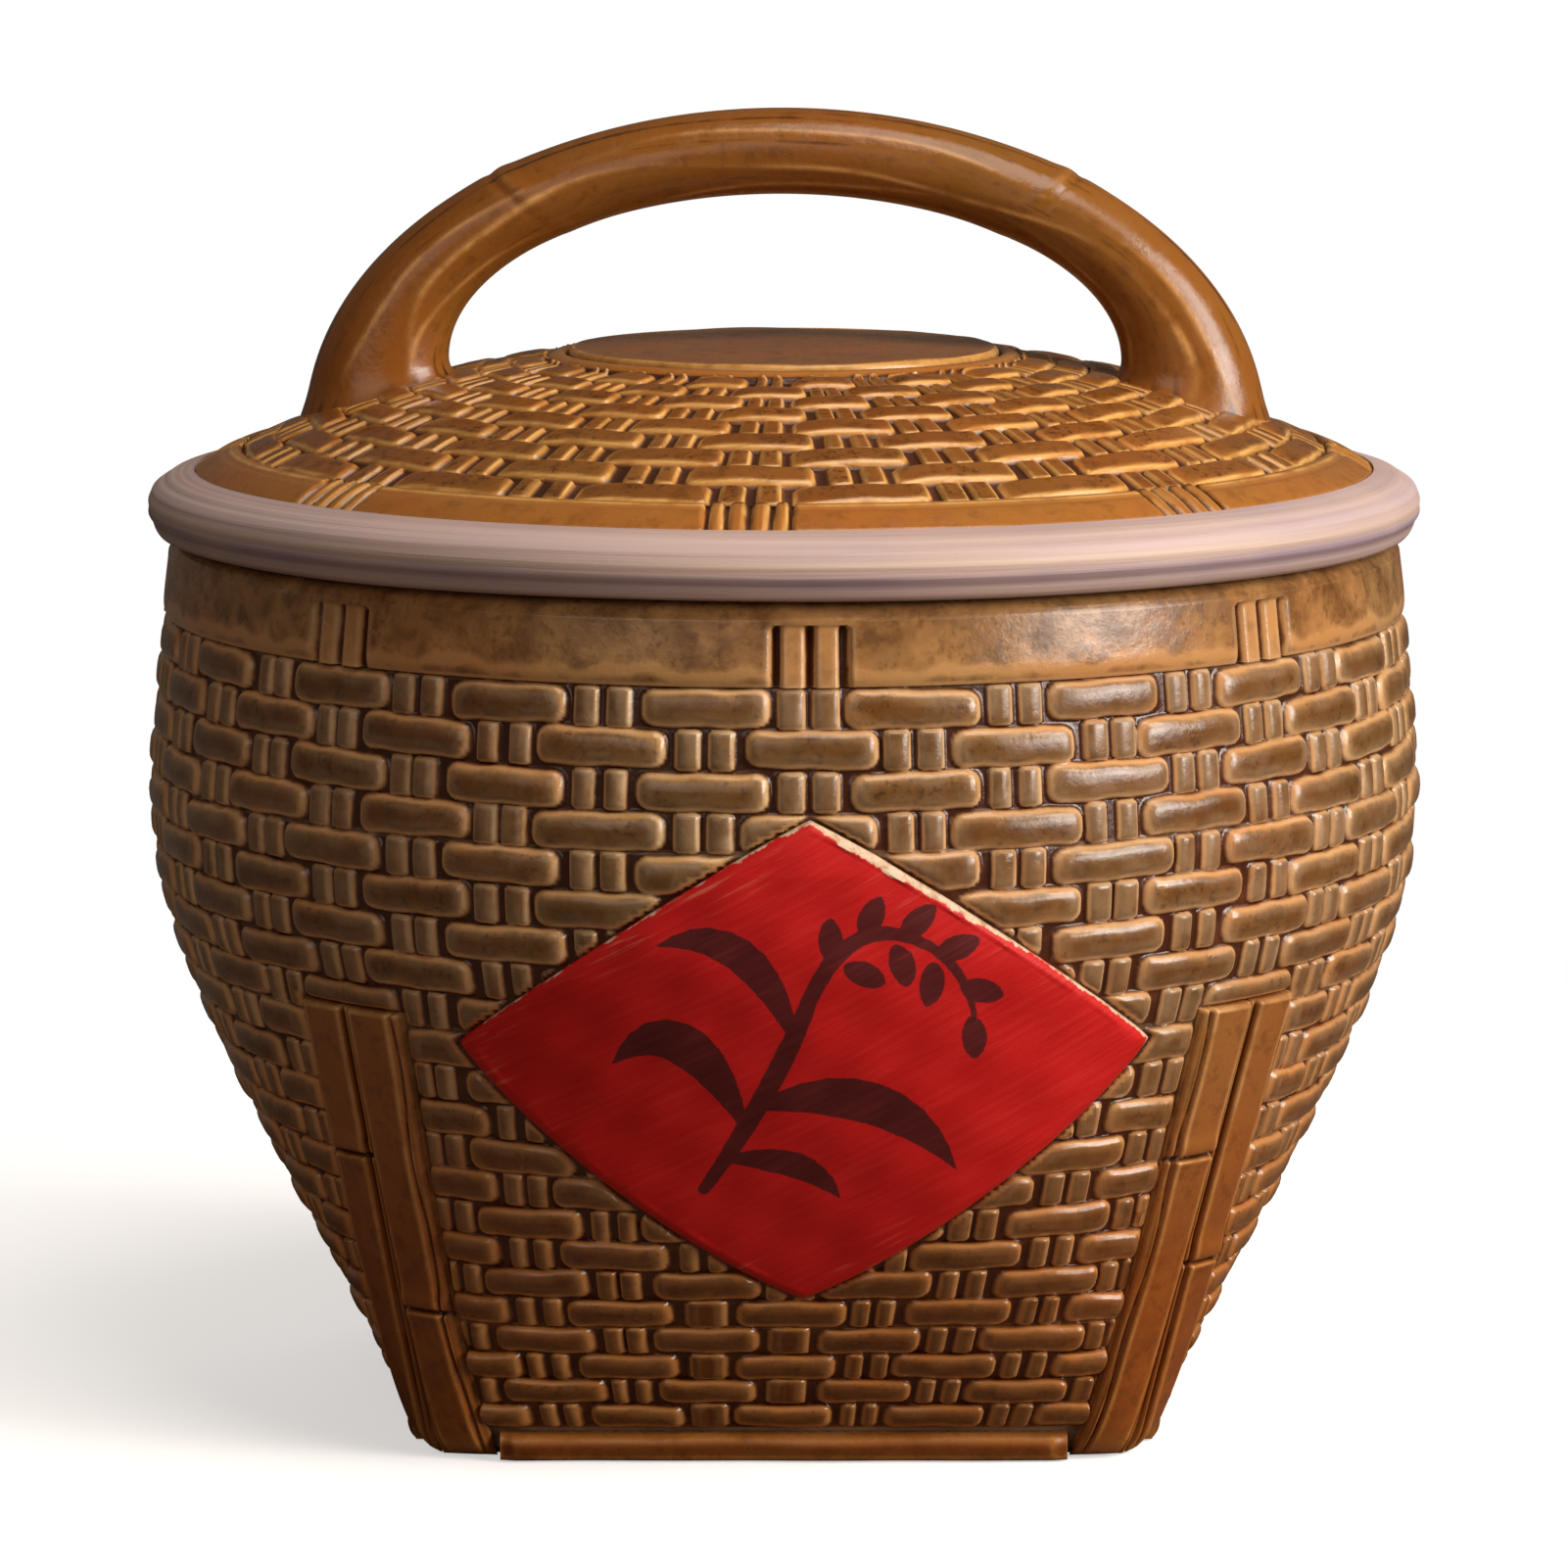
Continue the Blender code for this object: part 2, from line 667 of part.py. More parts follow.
def dome_loops():
    """Loops of the lid's dome: in over the woven skin, then out under the plain lining."""
    columns = [n + side for n in range(DOME_COLUMNS) for side in (-SLAT_HALF, SLAT_HALF)]
    angles = [FRONT + 2 * math.pi * column / DOME_COLUMNS for column in columns]
    outer = DOME_RADIUS - CLEARANCE
    inner = CROWN_RADIUS + CLEARANCE
    woven = inner + CROWN_PLAIN
    loops = []

    def add_loop(reach, heights):
        points = zip(angles, heights)
        loops.append([Vector((reach * math.cos(a), reach * math.sin(a), z)) for a, z in points])

    low_rim = [dome_height(outer) - DOME_STEP] * len(columns)
    add_loop(outer, low_rim)
    for row in range(1, DOME_ROWS + 1):
        for side in (-SLAT_TALL, SLAT_TALL):
            reach = outer + (woven - outer) * (row - 0.5 + side) / DOME_ROWS
            heights = []
            for column, angle in zip(columns, angles):
                raised = (round(column) + row) % 2 == 0
                if under_handle_foot(reach * math.cos(angle), reach * math.sin(angle)):
                    raised = True
                heights.append(dome_height(reach) - (0.0 if raised else DOME_STEP))
            add_loop(reach, heights)
    add_loop(woven, [dome_height(woven)] * len(columns))
    add_loop(inner, [dome_height(inner)] * len(columns))
    crest = dome_height(inner) - DOME_THICK
    rest = SEAT_Z + CLEARANCE
    rest_reach = outer - DOME_REST
    for step in range(DOME_LINING_LOOPS + 1):
        share = step / DOME_LINING_LOOPS
        reach = inner + (rest_reach - inner) * share
        add_loop(reach, [rest + (crest - rest) * (1 - share**2)] * len(columns))
    add_loop(outer, [rest] * len(columns))
    return loops


def handle_loops():
    """Loops along the arch, each a rounded section between its inner and outer curve."""
    inner_reach = HANDLE_REACH - HANDLE_FOOT
    outer_rise = HANDLE_TOP - HANDLE_OUTER_Z
    inner_rise = HANDLE_TOP - HANDLE_THICK - HANDLE_INNER_Z
    outer_start = math.asin((dome_height(HANDLE_REACH) - HANDLE_OUTER_Z) / outer_rise)
    inner_start = math.asin((dome_height(inner_reach) - HANDLE_INNER_Z) / inner_rise)
    shares = [step / HANDLE_LOOPS for step in range(HANDLE_LOOPS + 1)]
    for node in (HANDLE_NODE_AT, 1 - HANDLE_NODE_AT):
        shares += [node - HANDLE_NODE_SPREAD, node, node + HANDLE_NODE_SPREAD]
    loops = []
    for share in sorted(shares):
        outer_turn = outer_start + (math.pi - 2 * outer_start) * share
        inner_turn = inner_start + (math.pi - 2 * inner_start) * share
        outer_x = HANDLE_REACH * math.cos(outer_turn)
        outer_z = HANDLE_OUTER_Z + outer_rise * math.sin(outer_turn)
        inner_x = inner_reach * math.cos(inner_turn)
        inner_z = HANDLE_INNER_Z + inner_rise * math.sin(inner_turn)
        middle = Vector(((outer_x + inner_x) / 2, 0.0, (outer_z + inner_z) / 2))
        across = Vector(((outer_x - inner_x) / 2, 0.0, (outer_z - inner_z) / 2))
        flare = abs(2 * share - 1) ** 4
        depth = (HANDLE_DEPTH + (HANDLE_FOOT_DEPTH - HANDLE_DEPTH) * flare) / 2
        at_node = min(abs(share - HANDLE_NODE_AT), abs(1 - share - HANDLE_NODE_AT)) < 0.001
        swell = HANDLE_NODE_SWELL if at_node else 1.0
        ends = share in (0.0, 1.0)
        loop = []
        for side in range(HANDLE_SIDES):
            turn = 2 * math.pi * side / HANDLE_SIDES
            point = middle + across * (swell * math.cos(turn))
            point.y = depth * swell * math.sin(turn)
            loop.append(seated(point) if ends else point)
        loops.append(loop)
    first, last = (sum(loop, Vector()) / HANDLE_SIDES for loop in (loops[0], loops[-1]))
    loops.insert(0, [seated(first + (point - first) * 0.5) for point in loops[0]])
    loops.append([seated(last + (point - last) * 0.5) for point in loops[-1]])
    return loops


def seated(point):
    """The point let down on to the dome, less the joint line."""
    return Vector((point.x, point.y, dome_height(from_axis(point)) + HANDLE_SEAT))


def build_jar():
    glaze = finish("olive brown glaze", (0.26, 0.14, 0.05), 0.25)
    trim = finish("amber glaze on trim", (0.34, 0.19, 0.07), 0.25)
    clay = finish("bare clay under foot", (0.50, 0.36, 0.28), 0.8)
    paint = finish("red painted plaque", (0.42, 0.02, 0.015), 0.4)
    wall = add_object("jar_wall", loft(twisted_loops(wall_loops()), True, from_axis), glaze)
    floor = add_object("jar_floor", loft(twisted_loops(floor_loops()), False), clay)
    add_strips(trim, wall, floor)
    add_rails(trim)
    add_plaque(paint, wall)
    band = add_band(glaze)
    add_bindings("band_binding", band_binding_loops, band, trim)


def build_lid():
    lift = bpy.data.objects.new("lid_lift", None)
    bpy.context.scene.collection.objects.link(lift)
    lift.rotation_euler.z = LID_TURN
    glaze = finish("golden brown lid glaze", (0.30, 0.13, 0.03), 0.15)
    dark = finish("brown glaze on crown", (0.22, 0.09, 0.025), 0.15)
    clay = finish("bare pink clay", (0.56, 0.42, 0.36), 0.6)
    bamboo = finish("amber glaze on handle", (0.30, 0.13, 0.03), 0.12)
    turn_profile("lid_lip", lip_profile(), clay, lift)
    turn_profile("lid_flange", flange_profile(), clay, lift)
    add_object("lid_dome", loft(dome_loops(), True, height), glaze, lift)
    turn_profile("lid_crown", crown_profile(), dark, lift)
    border = turn_profile("lid_border", border_profile(), glaze, lift)
    add_bindings("lid_binding", lid_binding_loops, border, glaze, lift)
    add_object("lid_handle", loft(handle_loops(), False), bamboo, lift)


clear_scene()
build_jar()
build_lid()
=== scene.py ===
"""Looks of the covered rice jar: glazed stoneware moulded as a bamboo basket, with a lift-off lid.

The jar stands on z = 0 with its axis on Z, and its front, with the plaque, faces -Y. Sizes and places are
in metres, and MM brings in what is worked out in millimetres.
"""

import math

import bpy
import numpy as np
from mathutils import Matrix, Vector


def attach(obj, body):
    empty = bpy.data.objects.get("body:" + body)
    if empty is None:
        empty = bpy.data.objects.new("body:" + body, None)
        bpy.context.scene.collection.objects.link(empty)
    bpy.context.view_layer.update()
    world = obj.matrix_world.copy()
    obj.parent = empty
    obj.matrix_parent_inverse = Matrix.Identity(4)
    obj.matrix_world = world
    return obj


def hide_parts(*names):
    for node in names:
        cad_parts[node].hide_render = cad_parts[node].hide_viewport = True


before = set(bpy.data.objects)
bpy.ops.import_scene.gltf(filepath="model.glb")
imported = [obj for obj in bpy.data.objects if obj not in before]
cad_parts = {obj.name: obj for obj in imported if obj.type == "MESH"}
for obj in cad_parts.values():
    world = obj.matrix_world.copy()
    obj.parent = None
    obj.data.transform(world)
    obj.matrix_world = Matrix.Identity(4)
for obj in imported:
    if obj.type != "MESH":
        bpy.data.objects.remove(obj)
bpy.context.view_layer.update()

MM = 0.001

# The outline and the places that the CAD model has too.
CLEARANCE = 0.0003
FOOT_HALF = 0.0772
BELLY_HALF = 0.1401
BELLY_Z = 0.1359
RIM_HALF = 0.1345
RIM_Z = 0.1908
BAND_Z = 0.1738
ROUND_Z = 0.1080
CORNER_INSET = 0.0016
# How the side swells from the foot to the belly, in shares of the height and of the width gained.
SWELL = ((0.0, 0.0), (0.2, 0.264), (0.4, 0.541), (0.6, 0.775), (0.75, 0.908), (0.88, 0.9805), (1.0, 1.0))
DRAW_IN = 1.3
FOOT_TWIST = math.radians(-2.3)
WALL = 0.0085
WEAVE_DEPTH = 0.0030
WEAVE_COLUMNS = 40
WEAVE_ROWS = 22
ROW_TIGHTEN = 0.112
COLUMN_PINCH = 0.04
FLOOR_THICK = 0.0075
TRIM_LIFT = 0.0005
STRIP_TOP = 0.1020
STRIP_WIDTH = 0.0150
STRIP_FOOT_WIDTH = 0.0120
STRIP_RISE = 0.0042
# For each corner, the face and the height of the node of its two strips.
NODE_HEIGHTS = (
    ("front_right", "front", 0.070, "right", 0.045),
    ("back_right", "right", 0.036, "back", 0.070),
    ("back_left", "back", 0.045, "left", 0.070),
    ("front_left", "left", 0.070, "front", 0.036),
)
RAIL_TOP = 0.0065
RAIL_PROUD = 0.0005
FOOT_INSET = 0.0012
BINDING_COUNT = 8
BINDING_WIDTH = 0.0160
MOUTH_RADIUS = 0.1260
PLAQUE_Z = 0.0973
PLAQUE_HALF = 0.0710
PLAQUE_UP = 0.0497
PLAQUE_DOWN = 0.0567
PLAQUE_THICK = 0.0036
PLAQUE_BULGE_UP = 1.10
PLAQUE_BULGE_DOWN = 1.16
LID_TURN = math.radians(-5.5)
LID_LIP_Z = 0.1911
LIP_RADIUS = 0.1350
LIP_RIDGE = 0.1391
BORDER_RADIUS = 0.1286
BORDER_Z = 0.2050
SEAT_Z = 0.2000
DOME_RADIUS = 0.1186
DOME_RISE = 0.0275
DOME_POWER = 2.5
DOME_THICK = 0.0070
DOME_REST = 0.0065
DOME_COLUMNS = 32
DOME_ROWS = 9
CROWN_RADIUS = 0.0470
CROWN_PLAIN = 0.0050
CROWN_LIFT = 0.0008
CROWN_ARCH = 0.0017
LID_BINDING_WIDTH = 0.0180
HANDLE_TOP = 0.2830
HANDLE_THICK = 0.0190
HANDLE_REACH = 0.1055
HANDLE_FOOT = 0.0320
HANDLE_OUTER_Z = 0.2120
HANDLE_INNER_Z = 0.2280
HANDLE_DEPTH = 0.0225
HANDLE_FOOT_DEPTH = 0.0270
HANDLE_NODE_AT = 0.30

# The moulded weave: sizes in shares of a column and a row, edges in millimetres.
BODY_WEAVE = {
    "long": 0.655,
    "high": 0.494,
    "corner": 0.74,
    "edge": 2.6,
    "arch": 0.22,
    "dish": 0.0,
    "stake_at": 0.155,
    "stake_half": 0.130,
    "stake_tall": 0.515,
    "stake_edge": 1.3,
    "stake_share": 0.72,
    "narrower": 0.13,
    "broad_from": 18,
    "line": 0.70,
    "line_in": 0.75,
    "line_wide": 0.40,
    "lit_side": 1,
    "salt": 1,
}
LID_WEAVE = {
    "long": 0.64,
    "high": 0.490,
    "corner": 0.55,
    "edge": 1.6,
    "arch": 0.45,
    "dish": 0.12,
    "stake_at": 0.155,
    "stake_half": 0.118,
    "stake_tall": 0.53,
    "stake_edge": 0.9,
    "stake_share": 0.60,
    "narrower": 0.0,
    "broad_from": 99,
    "line": 0.95,
    "line_in": 0.60,
    "line_wide": 0.30,
    "lit_side": -1,
    "salt": 31,
}
WEAVE_RELIEF = 0.0024
WEAVE_SINK = 0.0027
LID_WEAVE_RELIEF = 0.0020
LID_WEAVE_SINK = 0.0021
RIM_SMOOTHINGS = 6

FRONT = -math.pi / 2
COLUMNS_PER_FACE = WEAVE_COLUMNS // 4


def smooth_through(points, at):
    """A curve through the points that never overshoots between two of them."""
    slopes = [(b[1] - a[1]) / (b[0] - a[0]) for a, b in zip(points, points[1:])]
    bends = [2 * a * b / (a + b) if a * b > 0 else 0 for a, b in zip(slopes, slopes[1:])]
    tangents = [slopes[0], *bends, slopes[-1]]
    result = np.zeros_like(at)
    for index, (left, right) in enumerate(zip(points, points[1:])):
        span = right[0] - left[0]
        share = (at - left[0]) / span
        keep = (1 + 2 * share) * (1 - share) ** 2
        rise = share * (1 - share) ** 2 * span * tangents[index]
        fall = share**2 * (share - 1) * span * tangents[index + 1]
        value = left[1] * keep + right[1] * (1 - keep) + rise + fall
        inside = at >= left[0] if index else at > -np.inf
        result = np.where(inside, value, result)
    return result


def half_width(z):
    """Half the jar's width at a height, to the tops of the weave."""
    z = np.asarray(z, float)
    low = FOOT_HALF + (BELLY_HALF - FOOT_HALF) * smooth_through(SWELL, np.clip(z / BELLY_Z, 0, 1))
    share = np.clip((z - BELLY_Z) / (RIM_Z - BELLY_Z), 0, 1.2)
    high = BELLY_HALF - (BELLY_HALF - RIM_HALF) * share**DRAW_IN
    return np.where(z <= BELLY_Z, low, high)


def roundness(z):
    """0 at the foot, where the jar is square, and 1 from the height where it is round."""
    return np.clip(np.asarray(z, float) / ROUND_Z, 0, 1)


def squareness(z):
    """Exponent of the superellipse at a height: 2 is a circle, more is a square."""
    foot_corner = FOOT_HALF - CORNER_INSET
    round_corner = half_width(ROUND_Z) / math.sqrt(2)
    corner = foot_corner + (round_corner - foot_corner) * roundness(z)
    power = math.log(2) / np.log(half_width(z) / corner)
    return np.where(np.asarray(z) >= ROUND_Z, 2.0, np.maximum(2.0, power))


def radius(z, angle, offset=0.0):
    """Distance of the skin from the axis in a direction."""
    power = squareness(z)
    spread = np.abs(np.cos(angle)) ** power + np.abs(np.sin(angle)) ** power
    return (half_width(z) + offset) * spread ** (-1 / power)


def placed(reach, angle, z):
    """Places at a distance from the axis, in a direction and at a height."""
    return np.stack([reach * np.cos(angle), reach * np.sin(angle), z], -1)


def turned(points, angle):
    """The points turned round the axis."""
    cos, sin = np.cos(angle), np.sin(angle)
    x = points[..., 0] * cos - points[..., 1] * sin
    y = points[..., 0] * sin + points[..., 1] * cos
    return np.stack([x, y, points[..., 2]], -1)


def skin(z, angle, offset=0.0):
    """Places on the jar's outside, moved out by the offset."""
    reach = radius(z, angle, offset)
    return placed(reach, angle, np.broadcast_to(z, reach.shape))


def twisted(points):
    """The points turned with the foot, less and less up to the height where the jar is round."""
    return turned(points, FOOT_TWIST * (1 - roundness(points[..., 2])))


def front_skin(x, z, offset):
    """Places on the front of the twisted skin that lie straight behind x and z."""
    half = half_width(z) + offset
    power = squareness(z)
    lead = x
    for _ in range(6):
        depth = half * (1 - np.abs(lead / half) ** power) ** (1 / power)
        points = twisted(np.stack([lead, -depth, z], -1))
        lead = lead + x - points[..., 0]
    return points


def column_angle(column, z):
    """Direction of a weave column, counted round from the middle of the front."""
    face = np.round(column / COLUMNS_PER_FACE)
    local = column - face * COLUMNS_PER_FACE
    share = np.abs(local) / (COLUMNS_PER_FACE / 2)
    along = share - COLUMN_PINCH * 4 * roundness(z) * (1 - roundness(z)) * (share - share**4)
    square_angle = np.arctan(along)
    round_angle = along * math.pi / 4
    turn = square_angle + (round_angle - square_angle) * roundness(z)
    return FRONT + face * math.pi / 2 + np.copysign(turn, local)


def row_height(row):
    """Height at which a row of the wall's weave starts, counted down from under the band."""
    top = BAND_Z - CLEARANCE
    bottom = FLOOR_THICK + CLEARANCE
    share = row / WEAVE_ROWS
    return top - (top - bottom) * ((1 + ROW_TIGHTEN) * share - ROW_TIGHTEN * share**3)


def dome_height(reach):
    """Height of the lid's arch at a distance from the axis."""
    return BORDER_Z + DOME_RISE * (1 - (reach / BORDER_RADIUS) ** DOME_POWER)


def ease(share):
    """0 below 0, 1 above 1, and a smooth step between them."""
    share = np.clip(share, 0, 1)
    return share * share * (3 - 2 * share)


def bell(off, wide):
    """1 where the distance off is 0, and almost 0 from twice the width."""
    return np.exp(-((off / wide) ** 2))


def from_nearest(angle, count):
    """Direction, counted from the nearest of some places that are spread evenly round, one at the front."""
    period = 2 * math.pi / count
    return (angle - FRONT + period / 2) % period - period / 2


def scatter(a, b, salt):
    """A repeatable number from -1 to 1 for each slat."""
    value = np.sin(a * 127.1 + b * 311.7 + salt * 74.7) * 43758.5453
    return 2 * (value - np.floor(value)) - 1


def inside_bar(x, y, half_x, half_y, corner):
    """How far a place lies inside a bar with rounded corners: below 0 is outside."""
    reach_x = np.abs(x) - half_x + corner
    reach_y = np.abs(y) - half_y + corner
    beyond = np.hypot(np.maximum(reach_x, 0), np.maximum(reach_y, 0))
    return corner - beyond - np.minimum(np.maximum(reach_x, reach_y), 0)


def rounded_over(inside, edge):
    """Height, 0 to 1, of a form whose edge is rounded over."""
    share = np.clip(inside / edge, 0, 1)
    return (1 - (1 - share) ** 2) ** 0.65


def rounded_bar(x, y, half_x, half_y, corner, edge):
    return rounded_over(inside_bar(x, y, half_x, half_y, corner), edge)


def weave_height(column, row, wide, tall, columns, rows, form):
    """Height of the weave, from 0 in a recess to 1 on a slat, and the marks that the glaze follows.

    The wide and tall values are the size of a column and a row at each place, in millimetres. The marks are
    the relief of each slat or stake by itself, its own tone, and the pale line along its edge: thin glaze
    there, with a painted highlight that makes it stronger on the lit side of a slat and the right side of a
    stake.
    """
    height = np.zeros_like(column)
    relief = np.zeros_like(column)
    tone = np.zeros_like(column)
    line = np.zeros_like(column)
    near_column = np.round(column)
    near_row = np.floor(row) + 1
    salt = form["salt"]
    # The nine cells nearest to each place: a slat in every second one, and a pair of stakes in the others.
    for side in (-1, 0, 1):
        for up in (-1, 0, 1):
            k = near_column + side
            j = near_row + up
            wrapped = k % columns
            real = (j >= 1) & (j <= rows)
            slat = (k + j) % 2 == 0
            shift = 0.032 * scatter(wrapped, j, salt)
            lift = 0.035 * scatter(wrapped, j, salt + 1)
            tilt = 0.026 * scatter(wrapped, j, salt + 2)
            size = 1 + 0.050 * scatter(wrapped, j, salt + 3)
            x = (column - k - shift) * wide
            y = (row - j + 0.5 - lift) * tall + tilt * x
            y = y + 0.14 * np.sin(x * 0.5 + 5 * scatter(wrapped, j, salt + 8))
            half_x = form["long"] * wide * size
            half_y = form["high"] * tall * (1 + 0.08 * scatter(wrapped, j, salt + 10) * x / half_x)
            inside = inside_bar(x, y, half_x, half_y, form["corner"] * half_y)
            bend = 1 - form["arch"] * (1 - 0.55 * x / half_x) * np.abs(x / half_x) ** 2.2
            hollow = 1 - form["dish"] * (1 - (x / half_x) ** 4) * np.clip(1 - (y / half_y) ** 2, 0, 1)
            crown = 0.88 + 0.12 * np.clip(1 - (y / half_y) ** 2, 0, 1)
            bar = rounded_over(inside, form["edge"]) * crown
            own = bar * (1 - 0.5 * form["arch"] * np.abs(x / half_x) ** 3)
            uneven = 0.99 + 0.06 * scatter(wrapped, j, salt + 4)
            bar = np.where(slat & real, bar * bend * hollow * uneven, 0)
            wins = bar > height
            tone = np.where(wins, scatter(wrapped, j, salt + 5), tone)
            relief = np.where(wins, own, relief)
            # Painted highlight: the pale edge line is stronger on the side of the slat that the light falls
            # on.
            painted_highlight_weight = 0.40 + 0.60 * ease(0.5 + form["lit_side"] * y / half_y)
            line = np.where(wins, painted_highlight_weight * bell(inside - form["line_in"], form["line_wide"]), line)
            height = np.where(wins, bar, height)
            open_end = (j >= 0) & (j <= rows + 1)
            broad = (j >= form["broad_from"]) & ((wrapped == 0) | (wrapped == columns - 1))
            for stake in (-1, 1):
                lean = 0.020 * scatter(wrapped + 50 * stake, j, salt + 6)
                at = np.where(broad, 0.10, form["stake_at"])
                narrow = 1 - form["narrower"] * j / rows + 0.10 * scatter(wrapped, j, salt + 9)
                half_x = np.where(broad, 0.16, form["stake_half"] * narrow)
                x = (column - k - at * stake - lean) * wide
                y = (row - j + 0.5) * tall
                half_y = form["stake_tall"] * tall
                inside = inside_bar(x, y, half_x * wide, half_y, 1.1)
                own = rounded_over(inside, form["stake_edge"])
                bar = own * form["stake_share"] * (1 - 0.10 * (y / half_y) ** 2)
                bar = np.where(~slat & open_end, bar, 0)
                wins = bar > height
                tone = np.where(wins, scatter(wrapped + 50 * stake, j, salt + 7), tone)
                relief = np.where(wins, own * 1.05, relief)
                # Painted highlight: the pale edge line is stronger on the stake's right side, towards the
                # light.
                painted_highlight_weight = 0.65 + 0.35 * (x > 0)
                fine = np.clip(wide / 20, 0.4, 1)
                line = np.where(wins, painted_highlight_weight * bell(inside / fine - 0.50, form["line_wide"]), line)
                height = np.where(wins, bar, height)
    return height, relief, tone, form["line"] * line


def deselect_all():
    bpy.ops.object.select_all(action="DESELECT")


def read_points(mesh):
    points = np.empty(len(mesh.vertices) * 3, np.float32)
    mesh.vertices.foreach_get("co", points)
    return points.reshape(-1, 3).astype(float)


def write_points(mesh, points):
    mesh.vertices.foreach_set("co", points.astype(np.float32).ravel())
    mesh.update()


def add_marks(mesh, marks):
    """Keeps numbers on the points, under names that the materials read."""
    for mark, values in marks.items():
        layer = mesh.attributes.new(mark, "FLOAT", "POINT")
        layer.data.foreach_set("value", values.astype(np.float32))


def weld():
    """Closes the seams of the piece that is being edited and turns its faces outwards."""
    bpy.ops.mesh.select_all(action="SELECT")
    bpy.ops.mesh.remove_doubles(threshold=2e-6)
    bpy.ops.mesh.normals_make_consistent(inside=False)
    bpy.ops.object.mode_set(mode="OBJECT")


def wrapped_grid(name, place, marks):
    """A flat grid added as by hand, laid over the rows of places given and welded."""
    along, around = place.shape[0] - 1, place.shape[1] - 1
    deselect_all()
    bpy.ops.mesh.primitive_grid_add(x_subdivisions=around, y_subdivisions=along, size=1.0)
    piece = bpy.context.object
    piece.name = name
    mesh = piece.data
    mesh.name = name
    flat = read_points(mesh)
    u = np.round((flat[:, 0] + 0.5) * around).astype(int)
    v = np.round((flat[:, 1] + 0.5) * along).astype(int)
    write_points(mesh, place[v, u])
    add_marks(mesh, {mark: values[v, u] for mark, values in marks.items()})
    bpy.ops.object.mode_set(mode="EDIT")
    weld()
    return piece


def mark_rims(mesh):
    """Marks how far each point stands out of the smoothed surface, in millimetres."""
    points = read_points(mesh)
    count = len(points)
    normals = np.empty(count * 3, np.float32)
    mesh.vertex_normals.foreach_get("vector", normals)
    normals = normals.reshape(-1, 3)
    pairs = np.empty(len(mesh.edges) * 2, np.int32)
    mesh.edges.foreach_get("vertices", pairs)
    pairs = pairs.reshape(-1, 2)
    first = np.concatenate([pairs[:, 0], pairs[:, 1]])
    second = np.concatenate([pairs[:, 1], pairs[:, 0]])
    degree = np.bincount(first, minlength=count)
    smooth = points
    for _ in range(RIM_SMOOTHINGS):
        total = [np.bincount(first, smooth[second, axis], count) for axis in range(3)]
        mean = np.stack(total, -1) / degree[:, None]
        smooth = smooth * 0.4 + mean * 0.6
    add_marks(mesh, {"rim": ((points - smooth) * normals).sum(1) / MM})


def settle(piece, body, material, nodes, crease=70.0):
    """Finishes a piece: its rim marks, smooth shading, its material and its place in the frame."""
    deselect_all()
    piece.select_set(True)
    bpy.context.view_layer.objects.active = piece
    mark_rims(piece.data)
    bpy.ops.object.shade_smooth_by_angle(angle=math.radians(crease))
    piece.data.materials.clear()
    piece.data.materials.append(material)
    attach(piece, body)
    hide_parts(*nodes)


def tint(red, green, blue):
    """The linear colour for a colour as seen, given from 0 to 255."""
    seen = [red / 255, green / 255, blue / 255]
    linear = [c / 12.92 if c <= 0.04045 else ((c + 0.055) / 1.055) ** 2.4 for c in seen]
    return (*linear, 1.0)


